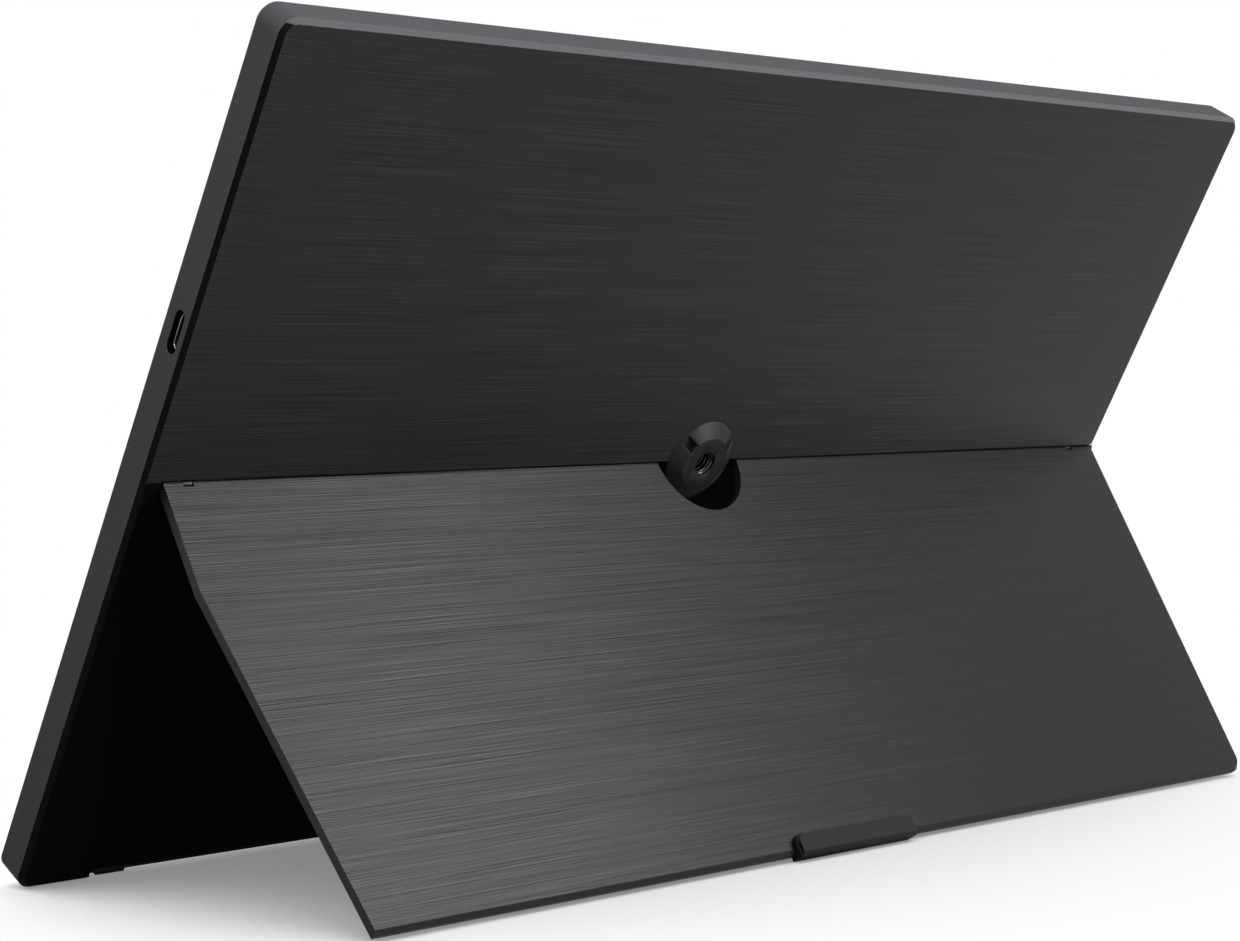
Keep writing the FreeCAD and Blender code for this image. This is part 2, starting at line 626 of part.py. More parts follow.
def screen_module():
    """Screen glass, optical sheets, light guide and the metal tray that holds them."""
    across = (f"-{CELL_SIDE}", CELL_SIDE)
    up = (CELL_LOW, CELL_HIGH)
    keep(block("glass", across, (CELL_FRONT, CELL_BACK), up), "lcd_panel", "display")
    front = CELL_BACK
    wide = (f"-{SHEET_SIDE}", SHEET_SIDE)
    for label, thick in LAYERS:
        back = f"({front} + {thick})"
        keep(block(f"{label}_layer", wide, (front, back), (SHEET_LOW, SHEET_HIGH)), label, "display")
        front = back
    pan = block("tray_outside", across, (CELL_BACK, TRAY_BACK), up)
    deep = (f"{CELL_BACK} - overrun", TRAY_FRONT)
    well = block("tray_well", inset(across, "tray_rim"), deep, inset(up, "tray_rim"))
    keep(cut("tray", pan, [well]), "panel_tray", "display")


def light_strip():
    """The strip of lamps that feeds the light guide's lower edge."""
    depth = (GUIDE_FRONT, f"{GUIDE_FRONT} + guide_thick")
    top = f"({STRIP_LOW} + strip_thick)"
    carrier = rectangle((f"-{SHEET_SIDE}", SHEET_SIDE), (STRIP_LOW, top))
    strip = prism("lamp_strip", "XZ", carrier, depth)
    step = f"(2 * {SHEET_SIDE} / {LAMP_COUNT})"
    first = about(f"({step} / 2 - {SHEET_SIDE})", "lamp_width")
    offset = f"-({GUIDE_FRONT} + (guide_thick + lamp_tall) / 2)"
    shape = rectangle(first, (f"{STRIP_LOW} + strip_thick / 2", f"{top} + lamp_deep"))
    sketch = outlined(strip, "lamp_outline", "XZ", offset, shape)
    lamp = strip.newObject("PartDesign::Pad", "lamp_pad")
    lamp.Profile = sketch
    bind(lamp, "Length", "lamp_tall")
    doc.recompute()
    row = strip.newObject("PartDesign::LinearPattern", "lamp_row")
    row.Originals = [lamp]
    row.Direction = (sketch, ["H_Axis"])
    bind(row, "Length", f"{step} * {LAMP_COUNT - 1}")
    row.Occurrences = LAMP_COUNT
    strip.Tip = row
    keep(strip, "led_strip", "display")


def boards():
    """The screen's driver board, and the main board with its chips and shield."""
    across = (f"-{TIMING_SIDE}", TIMING_SIDE)
    timing = block("timing", across, (TRAY_BACK, TIMING_BACK), (TIMING_LOW, TIMING_HIGH))
    keep(timing, "timing_board", "display")
    up = (BOARD_LOW, f"{BOARD_LOW} + board_height")
    sheet = block("board_sheet", (BOARD_INNER, BOARD_OUTER), (BOARD_FRONT, BOARD_BACK), up)
    drilled = holes("board_hole", board_spots(), (f"{BOARD_FRONT} - overrun", f"{BOARD_BACK} + overrun"))
    keep(cut("board", sheet, drilled), "main_board", "display")
    x = f"({BOARD_INNER} + board_width / 2)"
    z = f"({BOARD_LOW} + board_height / 2)"
    top = f"({BOARD_FRONT} - shield_rise)"
    wide = about(x, "shield_width")
    tall = about(z, "shield_height")
    can = block("shield_outside", wide, (top, BOARD_FRONT), tall)
    deep = (f"{top} + shield_wall", f"{BOARD_FRONT} + overrun")
    hollow = block("shield_inside", inset(wide, "shield_wall"), deep, inset(tall, "shield_wall"))
    keep(cut("shield", can, [hollow]), "board_shield", "display")
    rise = (f"{BOARD_FRONT} - chip_rise", BOARD_FRONT)
    chips = [block("processor", about(x, "chip_side"), rise, about(z, "chip_side"))]
    for across_share, up_share in CHIP_SHARES:
        x = f"({BOARD_INNER} + {across_share} * board_width)"
        z = f"({BOARD_LOW} + {up_share} * board_height)"
        chips.append(block("small_chip", about(x, "memory_wide"), rise, about(z, "memory_tall")))
    keep(group("chips", chips), "board_chips", "display")


def ribbon(path):
    """The outline of a flat cable that follows a path of level and place."""
    back = [(f"{level} + cable_thick", place) for level, place in reversed(path)]
    return path + back


def panel_cable():
    """The cable from the main board down to the screen's driver board, and its two sockets."""
    wide = (PANEL_CABLE, f"{PANEL_CABLE} + panel_cable_width")
    body = inset(wide, "(-socket_margin)")
    low = f"({TIMING_BACK} + socket_rise / 2)"
    start = f"({TIMING_HIGH} - socket_deep / 2)"
    finish = f"({BOARD_LOW} + socket_deep / 2)"
    path = [
        (low, start),
        (low, f"{BOARD_LOW} - 2 * cable_ramp"),
        (BOARD_SLIT, f"{BOARD_LOW} - cable_ramp"),
        (BOARD_SLIT, finish),
    ]
    keep(prism("panel_ribbon", "YZ", ribbon(path), wide), "panel_cable", "display")
    lower = block("timing_socket_body", body, (TIMING_BACK, f"{TIMING_BACK} + socket_rise"),
                  (f"{TIMING_HIGH} - socket_deep", TIMING_HIGH))
    upper = block("board_socket_body", body, (f"{BOARD_FRONT} - socket_rise", BOARD_FRONT),
                  (BOARD_LOW, f"{BOARD_LOW} + socket_deep"))
    lower_slit = block("timing_slit", wide, (low, f"{low} + cable_thick"),
                       (start, f"{TIMING_HIGH} + overrun"))
    upper_slit = block("board_slit", wide, (BOARD_SLIT, f"{BOARD_SLIT} + cable_thick"),
                       (f"{BOARD_LOW} - overrun", finish))
    return [cut("timing_socket", lower, [lower_slit]), cut("board_socket", upper, [upper_slit])]


def key_cable():
    """The cable from the main board across to the keys' board, and its two sockets."""
    tall = about(KEY_CABLE, "key_cable_width")
    body = inset(tall, "(-socket_margin)")
    start = f"({KEY_BOARD_BACK} + socket_deep / 2)"
    mouth = f"({KEY_BOARD_BACK} + socket_deep)"
    finish = f"({BOARD_INNER} + socket_deep / 2)"
    path = [
        (KEY_DEPTH, start),
        (KEY_DEPTH, mouth),
        (TRAY_BACK, f"{mouth} + cable_ramp"),
        (TRAY_BACK, f"{BOARD_INNER} - cable_ramp"),
        (BOARD_SLIT, BOARD_INNER),
        (BOARD_SLIT, finish),
    ]
    outline = [(place, level) for level, place in ribbon(path)]
    keep(prism("key_ribbon", "XY", outline, tall), "key_cable", "display")
    far = block("key_socket_body", (KEY_BOARD_BACK, mouth), about(KEY_DEPTH, "socket_rise"), body)
    near = block("board_key_body", (BOARD_INNER, f"{BOARD_INNER} + socket_deep"),
                 (f"{BOARD_FRONT} - socket_rise", BOARD_FRONT), body)
    far_slit = block("key_slit", (start, f"{mouth} + overrun"),
                     (KEY_DEPTH, f"{KEY_DEPTH} + cable_thick"), tall)
    near_slit = block("board_key_slit", (f"{BOARD_INNER} - overrun", finish),
                      (BOARD_SLIT, f"{BOARD_SLIT} + cable_thick"), tall)
    return [cut("key_socket", far, [far_slit]), cut("board_key_socket", near, [near_slit])]


def cables():
    """Both flat cables, with the sockets they end in as one group."""
    keep(group("sockets", panel_cable() + key_cable()), "cable_sockets", "display")


def port():
    """The port's steel shell and the tongue inside it."""
    mouth = f"({HALF} - shell_set_in)"
    rear = f"({mouth} - shell_length)"
    back = f"({rear} + shell_wall)"
    bent = stadium("port_outside", (rear, mouth), PORT_DEPTH, PORT, "shell_wide", "shell_tall")
    hollow = stadium("port_inside", (back, f"{mouth} + overrun"), PORT_DEPTH, PORT,
                     "(shell_wide - 2 * shell_wall)", "(shell_tall - 2 * shell_wall)")
    keep(cut("port_shell", bent, [hollow]), "usb_shell", "display")
    tongue = block("port_tongue", (back, f"{mouth} - tongue_set_in"), about(PORT_DEPTH, "tongue_tall"),
                   about(PORT, "tongue_wide"))
    keep(tongue, "usb_tongue", "display")


def keys():
    """Four keys in the side wall, their switches and the board behind them."""
    face = f"({KEY_WALL} + key_rest)"
    within = f"({face} + key_flange / 2)"
    flange_wide = "key_wide + 2 * (key_fit + key_flange_edge)"
    flange_long = "key_long + 2 * (key_fit + key_flange_edge)"
    switches = []
    for index, name in enumerate(KEY_NAMES):
        z = key_middle(index)
        cap = stadium(f"{name}_cap", (f"-{HALF} - key_proud", within), KEY_DEPTH, z, "key_long", "key_wide")
        flange = block(f"{name}_flange", (face, f"{face} + key_flange"), about(KEY_DEPTH, flange_wide),
                       about(z, flange_long))
        plunger = block(f"{name}_plunger", (within, f"{face} + key_flange + key_plunger"),
                        about(KEY_DEPTH, "key_plunger_side"), about(z, "key_plunger_side"))
        keep(fuse(f"{name}_solid", (cap, flange, plunger)), name, name)
        switches.append(block(f"{name}_switch", (SWITCH_FACE, KEY_BOARD), about(KEY_DEPTH, "switch_side"),
                              about(z, "switch_side")))
    keep(group("switches", switches), "key_switches", "display")
    last = key_middle(len(KEY_NAMES) - 1)
    ends = (f"{key_middle(0)} - key_board_end", f"{last} + key_board_end")
    wide = (f"{KEY_DEPTH} - ({flange_wide}) / 2", "-back_wall")
    keep(block("key_board", (KEY_BOARD, KEY_BOARD_BACK), wide, ends), "control_board", "display")


def key_slot(side):
    """One of the two locating slots that run down the nose's slope."""
    slot = doc.addObject("Part::Box", "nose_slot")
    bind(slot, "Length", "nose_base + overrun - nose_face + key_slot_nick")
    bind(slot, "Width", "nose_proud + overrun - key_slot_floor")
    bind(slot, "Height", "key_slot_width")
    angle = size("key_slot_angle") if side > 0 else 180 - size("key_slot_angle")
    turn = FreeCAD.Rotation(FreeCAD.Vector(0, 1, 0), -angle)
    start = size("nose_face") - size("key_slot_nick")
    corner = FreeCAD.Vector(start, size("key_slot_floor"), -size("key_slot_width") / 2)
    middle = FreeCAD.Vector(0, 0, size(NOSE))
    slot.Placement = FreeCAD.Placement(middle + turn.multVec(corner), turn)
    return slot


def tripod_socket():
    """The nose that carries the tripod thread, its threaded insert and its screws."""
    neck = rod("nose_neck", "y", (FLANGE_FRONT, "0"), "nose_base", x="0", z=NOSE)
    flange = rod("nose_rim", "y", (FLANGE_FRONT, FLOOR), "nose_flange", x="0", z=NOSE)
    slope = doc.addObject("Part::Cone", "nose_slope")
    slope.Placement = FreeCAD.Placement(FreeCAD.Vector(), TURNS["y"])
    bind(slope, "Placement.Base.z", NOSE)
    bind(slope, "Radius1", "nose_base")
    bind(slope, "Radius2", "nose_face")
    bind(slope, "Height", "nose_proud")
    seat = "(nose_proud - nut_set_in)"
    rear = f"{seat} - nut_length"
    tools = [key_slot(side) for side in SIDES]
    tools.append(rod("nose_mouth", "y", (seat, "nose_proud + overrun"), "mouth_radius", x="0", z=NOSE))
    seated = (f"{FLANGE_FRONT} - overrun", seat)
    tools.append(rod("nut_hole", "y", seated, "nut_radius + nut_fit", x="0", z=NOSE))
    tools += holes("nose_screw_hole", nose_spots(), (f"{FLANGE_FRONT} - overrun", f"{FLOOR} + overrun"))
    keep(cut("nose", fuse("nose_solid", (neck, flange, slope)), tools), "tripod_nose", "display")
    nut = rod("nut_blank", "y", (rear, seat), "nut_radius", x="0", z=NOSE)
    deep = (f"{seat} - thread_depth", f"{seat} + overrun")
    bore = rod("nut_bore", "y", deep, "thread_radius", x="0", z=NOSE)
    keep(cut("nut", nut, [bore]), "tripod_nut", "display")
    bite = "(nose_flange_thick + nose_bite)"
    keep(screws("nose_screw", nose_spots(), FLANGE_FRONT, bite), "nose_screws", "display")


def on_side(spots, side):
    """Those screw places of both hinges that lie on one side."""
    half = len(spots) // 2
    return spots[:half] if side > 0 else spots[half:]


def hinge_bracket(side, name):
    """The bracket in the case, with the arm that reaches the axis and the eye round it."""
    across = flipped(side, ARM_INNER, ARM_OUTER)
    thick = (BRACKET_FRONT, BRACKET_BACK)
    plan = flipped(side, f"{BRACKET_OUTER} - bracket_width", BRACKET_OUTER)
    sheet = block(f"{name}_sheet", plan, thick, (BRACKET_LOW, f"{BRACKET_LOW} + bracket_rise"))
    arm = block(f"{name}_arm", across, thick, (AXIS, f"{BRACKET_LOW} + bracket_thick"))
    eye = rod(f"{name}_eye", "x", across, "eye_radius", y=MIDDLE, z=AXIS)
    through = inset(across, "(-overrun)")
    tools = [rod(f"{name}_bore", "x", through, "shaft_radius + shaft_fit", y=MIDDLE, z=AXIS)]
    tools += holes(f"{name}_hole", on_side(bracket_spots(), side), inset(thick, "(-overrun)"))
    bracket = cut(f"{name}_bracket", fuse(f"{name}_blank", (sheet, arm, eye)), tools)
    keep(bracket, f"hinge_bracket_{name}", "display")


def hinge_shaft(side, name):
    """The shaft in the stand's edge, with the tang that is screwed to the stand."""
    length = flipped(side, SHAFT_INNER, SHAFT_OUTER)
    shaft = rod(f"{name}_shaft", "x", length, "shaft_radius", y=MIDDLE, z=AXIS)
    web = block(f"{name}_web", flipped(side, SHAFT_INNER, TANG_OUTER), (TANG_FACE, MIDDLE),
                (f"{AXIS} - link_drop", AXIS))
    thick = (TANG_FACE, TANG_BACK)
    tang = block(f"{name}_tang", flipped(side, f"{TANG_OUTER} - tang_width", TANG_OUTER), thick,
                 (f"{AXIS} - tang_drop", f"{AXIS} - link_drop / 2"))
    tools = holes(f"{name}_tang_hole", on_side(tang_spots(), side), inset(thick, "(-overrun)"))
    leaf = cut(f"{name}_leaf", fuse(f"{name}_leaf_blank", (shaft, web, tang)), tools)
    keep(leaf, f"hinge_shaft_{name}", "stand")


def hinges():
    """Both hinges, and the screws that hold them and the main board."""
    for side, name in zip(SIDES, ("left", "right")):
        hinge_bracket(side, name)
        hinge_shaft(side, name)
    bite = "(bracket_thick + bracket_bite)"
    keep(screws("bracket_screw", bracket_spots(), BRACKET_FRONT, bite), "bracket_screws", "display")
    bite = "(board_thick + board_bite)"
    keep(screws("board_screw", board_spots(), BOARD_FRONT, bite), "board_screws", "display")
    bite = "(tang_thick + tang_bite)"
    keep(screws("tang_screw", tang_spots(), TANG_FACE, bite), "stand_screws", "stand")


def stand_openings(name):
    """What is cut through both the stand's core and its face sheet: notch, arm slots and pad."""
    through = ("-stand_thick - overrun", "overrun")
    up = (f"{AXIS} - eye_radius - eye_clear", f"{AXIS} + stand_thick")
    tools = [rod(f"{name}_notch", "y", through, "notch_radius", x="0", z=f"{AXIS} + notch_rise")]
    tools += [arm_slot(f"{name}_arm_slot", side, through, up) for side in SIDES]
    tools.append(pad_tab(f"{name}_pad_seat", ("-rim_chamfer", "overrun"), "pad_fit"))
    return tools


def shaft_seats():
    """Bores and pockets in the stand's core for the two hinge shafts."""
    behind = "-stand_thick - overrun"
    seats = holes("tang_pilot", tang_spots(), (behind, f"{TANG_BACK} + tang_bite + screw_fit"))
    for side in SIDES:
        length = flipped(side, f"{SHAFT_INNER} - tang_fit", f"{SHAFT_OUTER} + tang_fit")
        seats.append(rod("shaft_bore", "x", length, "shaft_radius + nut_fit", y=MIDDLE, z=AXIS))
        web = flipped(side, f"{SHAFT_INNER} - tang_fit", f"{TANG_OUTER} + tang_fit")
        up = (f"{AXIS} - link_drop - tang_fit", AXIS)
        seats.append(block("web_pocket", web, (behind, MIDDLE), up))
        tang = flipped(side, f"{TANG_OUTER} - tang_width - tang_fit", f"{TANG_OUTER} + tang_fit")
        up = (f"{AXIS} - tang_drop - tang_fit", f"{AXIS} - link_drop / 2 + tang_fit")
        seats.append(block("tang_pocket", tang, (behind, TANG_BACK), up))
    return seats


def stand_pad():
    """The rubber pad: two steps on the stand's face and a lip under its edge."""
    proud = size("pad_proud")
    sole = -size("pad_lip")
    base = pad_tab("pad_base", ("-rim_chamfer", "pad_step"), "0")
    front = pad_tab("pad_front", ("0", "pad_proud"), "(-pad_ledge)")
    front_edge = lambda box: box.YMin > proud - NEAR and box.ZMax < sole + NEAR
    eased(front, "Chamfer", "Size", "pad_bevel", front_edge)
    lip = block("pad_under", about("0", "pad_width"), ("-stand_thick", "pad_step"), ("-pad_lip", "0"))
    return fuse("pad", (base, front, lip))


def kickstand():
    """The stand: its moulded core, the brushed sheet on its face and the rubber pad at its foot."""
    far = -size(HALF)
    turned = far + size("case_corner")
    halfway = size(AXIS) / 2
    free_corner = lambda box: through_edge(box) and box.XMax < turned and box.ZMax < halfway
    rim = lambda box: box.YMin > -NEAR and (box.XMax < turned + NEAR or box.ZMax < NEAR)
    outline = [
        (f"-{HALF}", "0"),
        (STAND_FOOT, "0"),
        (STAND_EDGE, KINK),
        (STAND_EDGE, AXIS),
        (f"-{HALF}", AXIS),
    ]
    flat = prism("stand_flat", "XZ", outline, ("-stand_thick", "0"))
    eased(flat, "Fillet", "Radius", "case_corner", free_corner)
    eased(flat, "Chamfer", "Size", "rim_chamfer", rim)
    side = f"(-{HALF} + rim_chamfer)"
    edge = rod("stand_round", "x", (f"-{HALF}", STAND_EDGE), "stand_thick / 2", y=MIDDLE, z=AXIS)
    bevel = [
        (f"-{HALF}", "-rim_chamfer"),
        (side, "0"),
        (side, "overrun"),
        (f"-{HALF} - overrun", "overrun"),
        (f"-{HALF} - overrun", "-rim_chamfer"),
    ]
    rim_end = prism("stand_round_end", "XY", bevel, (AXIS, f"{AXIS} + stand_thick"))
    corner = "max(case_corner - rim_chamfer; least_corner)"
    bed = rectangle((side, HALF), ("rim_chamfer", AXIS))
    seat = prism("skin_seat", "XZ", bed, ("-skin_thick", "overrun"))
    eased(seat, "Fillet", "Radius", corner, free_corner)
    tools = stand_openings("core") + [seat, rim_end] + shaft_seats()
    keep(cut("core", fuse("core_solid", (flat, edge)), tools), "kickstand_core", "stand")
    low = "(rim_chamfer + skin_fit)"
    outline = [
        (f"{side} + skin_fit", low),
        (f"{STAND_FOOT} + stand_taper * {low} / {KINK}", low),
        (STAND_EDGE, KINK),
        (STAND_EDGE, AXIS),
        (f"{side} + skin_fit", AXIS),
    ]
    face = prism("skin_flat", "XZ", outline, ("-skin_thick", "0"))
    eased(face, "Fillet", "Radius", corner, free_corner)
    keep(cut("skin", face, stand_openings("skin")), "kickstand_skin", "stand")
    keep(stand_pad(), "kickstand_pad", "stand")


def stand_contact():
    """Depth and height, on the upright case, of the pad's edge that meets the floor."""
    opening = math.radians(size("stand_open_angle"))
    reach = size(AXIS) + size("pad_lip")
    behind = size(MIDDLE)
    depth = behind + reach * math.sin(opening) + behind * math.cos(opening)
    height = size(AXIS) - reach * math.cos(opening) + behind * math.sin(opening)
    return depth, height


def foot_contact():
    """Depth and height, on the upright case, of the foot's heel."""
    return size(RECESS) - size("foot_heel"), -size("foot_drop")


def lean_angle():
    """How far the case leans back when heel and pad both stand on the floor, in degrees."""
    pad_depth, pad_height = stand_contact()
    heel_depth, heel_height = foot_contact()
    return math.degrees(math.atan2(pad_height - heel_height, pad_depth - heel_depth))


def feet():
    """Two rubber feet under the bottom edge, each with a flat that lies on the floor."""
    lean = math.radians(lean_angle())
    heel_depth, heel_height = foot_contact()
    sole = heel_height - size("foot_facet") * math.sin(lean)
    turn = heel_depth - size("foot_facet") * math.cos(lean)
    toe = heel_depth - size("foot_depth")
    top = size("foot_set_in")
    profile = [(heel_depth, top), (heel_depth, heel_height), (turn, sole), (toe, sole), (toe, top)]
    outline = [FreeCAD.Vector(0, depth, height) for depth, height in profile]
    face = Part.Face(Part.makePolygon(outline + outline[:1]))
    blank = face.extrude(FreeCAD.Vector(size("foot_width"), 0, 0))
    places = (size(FOOT_INNER), -size(FOOT_OUTER))
    pair = doc.addObject("Part::Feature", "feet")
    pair.Shape = Part.makeCompound([blank.translated(FreeCAD.Vector(x, 0, 0)) for x in places])
    keep(pair, "bottom_feet", "display")


def place_pieces():
    """Lean the case, open the stand and bring the origin to the middle of the floor under it.

    Returns the case's placement and a point of the hinge axis on the upright case.
    """
    axis = FreeCAD.Vector(1, 0, 0)
    lean = FreeCAD.Placement(FreeCAD.Vector(), FreeCAD.Rotation(axis, -lean_angle()))
    pivot = FreeCAD.Vector(0, size(MIDDLE), size(AXIS))
    opened = FreeCAD.Placement(FreeCAD.Vector(), FreeCAD.Rotation(axis, size("stand_open_angle")), pivot)
    for piece, body in pieces.values():
        piece.Placement = lean * opened if body == "stand" else lean
    doc.recompute()
    reach = FreeCAD.BoundBox()
    for piece, body in pieces.values():
        reach.add(piece.Shape.optimalBoundingBox(False, False))
    shift = FreeCAD.Vector(-reach.Center.x, -reach.Center.y, -reach.ZMin)
    home = FreeCAD.Placement(shift, FreeCAD.Rotation())
    for piece, body in pieces.values():
        piece.Placement = home * piece.Placement
    doc.recompute()
    return home * lean, pivot


def check():
    """Stop if any object failed or any piece is not a set of sound solids."""
    failed = [thing.Label for thing in doc.Objects if {"Invalid", "Error"} & set(thing.State)]
    for label, (piece, body) in pieces.items():
        shape = piece.Shape
        if shape.isNull() or not shape.isValid() or not shape.Solids:
            failed.append(label)
    if failed:
        raise RuntimeError(f"these did not build: {failed}")


def metres(vector):
    """A vector in metres, rounded to a micrometre."""
    return [round(part / 1000, 6) for part in vector]


def report(place, pivot):
    """Print what the record needs: lean, hinge, socket, port, keys and foot, in metres."""
    nose = FreeCAD.Vector(0, size("nose_proud") - size("nut_set_in"), size(NOSE))
    depth, height = foot_contact()
    heel = FreeCAD.Vector(size(FOOT_INNER) + size("foot_width") / 2, depth, height)
    mouth = FreeCAD.Vector(size(HALF) - size("shell_set_in"), -size("port_depth"), size(PORT))
    print("lean", round(lean_angle(), 4))
    print("rear normal", [round(part, 6) for part in place.Rotation.multVec(FreeCAD.Vector(0, 1, 0))])
    for name, spot in (("hinge", pivot), ("socket", nose), ("port", mouth), ("heel", heel)):
        print(name, metres(place.multVec(spot)))
    print("case origin", metres(place.Base))
    print("pieces", len(pieces), "solids", sum(len(piece.Shape.Solids) for piece, body in pieces.values()))


def main():
    """Build every piece, place it, check it and write it."""
    fill_sheet()
    rear_cover()
    front_bezel()
    screen_module()
    light_strip()
    boards()
    cables()
    port()
    keys()
    tripod_socket()
    hinges()
    kickstand()
    feet()
    doc.recompute()
    check()
    place, pivot = place_pieces()
    check()
    os.makedirs("parts", exist_ok=True)
    for label, (piece, body) in pieces.items():
        piece.Shape.exportStep(f"parts/{label}.step")
    report(place, pivot)


main()
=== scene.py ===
"""Looks of a portable monitor that stands on its opened rear stand.

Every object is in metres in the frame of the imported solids: X across the case with the port side at
+X, Y out of its back and Z up from the floor. Places on the case and on the stand are given as they
are on the upright, closed monitor, in millimetres: across, out of the rear plane, and up.
"""

import json
import logging
import math
from dataclasses import dataclass
from enum import Enum
from functools import cached_property
from typing import Any, Iterable, Sequence, Union

import bmesh
import bpy
from mathutils import Matrix, Vector


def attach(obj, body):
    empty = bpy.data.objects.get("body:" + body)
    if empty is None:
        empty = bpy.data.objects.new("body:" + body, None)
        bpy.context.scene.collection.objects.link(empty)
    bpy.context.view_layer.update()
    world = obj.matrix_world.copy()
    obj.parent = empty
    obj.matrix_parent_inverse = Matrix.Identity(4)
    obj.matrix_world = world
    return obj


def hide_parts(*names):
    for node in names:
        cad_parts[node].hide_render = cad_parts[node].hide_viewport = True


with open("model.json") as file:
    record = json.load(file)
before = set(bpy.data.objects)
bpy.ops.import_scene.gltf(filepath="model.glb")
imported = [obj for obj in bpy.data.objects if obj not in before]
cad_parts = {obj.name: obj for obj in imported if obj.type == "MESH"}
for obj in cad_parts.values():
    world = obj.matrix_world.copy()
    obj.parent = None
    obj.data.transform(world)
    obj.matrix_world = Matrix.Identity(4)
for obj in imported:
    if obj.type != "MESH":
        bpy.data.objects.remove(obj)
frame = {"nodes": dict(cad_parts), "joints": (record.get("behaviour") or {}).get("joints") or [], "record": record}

LOG = logging.getLogger("monitor")
MM = 0.001
Colour = tuple[float, float, float, float]
Triple = tuple[float, float, float]
Inputs = dict[str, Any]
Number = Union["Value", float]
Socket = bpy.types.NodeSocket
Material = bpy.types.Material
Object = bpy.types.Object
Mesh = bpy.types.Mesh

ZERO: Triple = (0.0, 0.0, 0.0)
# The mouth of the tripod socket on the drawing.
SOCKET_MOUTH: Triple = (0.0, 1.7, 114.05)
# Brushed lines and the bands they lie in, in millimetres.
LINE_WIDTH, LINE_DEPTH, BAND_LENGTH, BAND_WIDTH = 0.22, 400.0, 170.0, 0.5
# Detail and roughness of a sharp noise.
SHARP = (3.0, 0.6)
# Cosines between the plain and the eased normal where the lighter edges, for wear and painted highlight, begin and
# where they are full.
WEAR_AND_HIGHLIGHT_ENDS = (0.995, 0.9)
# The colour sockets of a Mix node.
MIX_FIRST, MIX_SECOND, MIX_RESULT = 6, 7, 2
# Points nearer than this, in metres, are joined, and faces within this angle, in degrees.
WELD, FLAT_ANGLE = 1e-6, 0.6
# Faces round a screw's head and its shank, and along a turn of thread.
HEAD_SIDES, SHANK_SIDES, TURN_STEPS = 40, 24, 48
# Parts of a screw head's rise, and of its radius.
RIM_SHARE, SHANK_START = 0.6, 0.9
CROWN_SHARE, CROSS_SHARE = 0.72, 1.3


class Body(Enum):
    """The bodies that a piece can ride on."""

    DISPLAY = "display"
    STAND = "kickstand"
    POWER = "power_key_body"
    MENU = "menu_key_body"
    UP = "up_key_body"
    DOWN = "down_key_body"


class Rays(Enum):
    """Which rays see the white surroundings instead of the studio's own light."""

    CAMERA = "Is Camera Ray"
    GLOSSY = "Is Glossy Ray"
    CLEAR = "Is Transmission Ray"


def shade(*levels: float) -> Colour:
    """A colour from its sRGB levels, 0 to 255.

    Args:
        levels: the levels of red, green and blue.

    Returns:
        The colour in linear light, with full cover.
    """
    parts = [level / 255 for level in levels]
    linear = [part / 12.92 if part <= 0.04045 else ((part + 0.055) / 1.055) ** 2.4 for part in parts]
    return (*linear, 1.0)


WHITE = shade(255, 255, 255)
# Near-black colour of painted shade in corners.
PAINTED_SHADE = shade(3, 3, 3)


@dataclass(frozen=True)
class Posture:
    """Where the upright, closed drawing of a sub-assembly stands: a turn about X, then a shift."""

    origin: Triple
    turn: float

    @property
    def matrix(self) -> Matrix:
        """The drawing's millimetres to the scene's metres."""
        return Matrix.Translation(self.origin) @ Matrix.Rotation(self.turn, 4, "X") @ Matrix.Scale(MM, 4)

    def local(self, point: Vector) -> Vector:
        """A point of the scene on the upright, closed drawing."""
        return self.matrix.inverted() @ point


def posture_about(spot: Sequence[float], drawn: Triple, turn: float) -> Posture:
    """The posture that brings a drawn point to a spot of the scene.

    Args:
        spot: the point in the scene, in metres.
        drawn: the same point on the upright drawing, in millimetres.
        turn: the turn about X, in radians.

    Returns:
        The posture.
    """
    shift = Vector(spot) - Matrix.Rotation(turn, 3, "X") @ (Vector(drawn) * MM)
    return Posture(tuple(shift), turn)


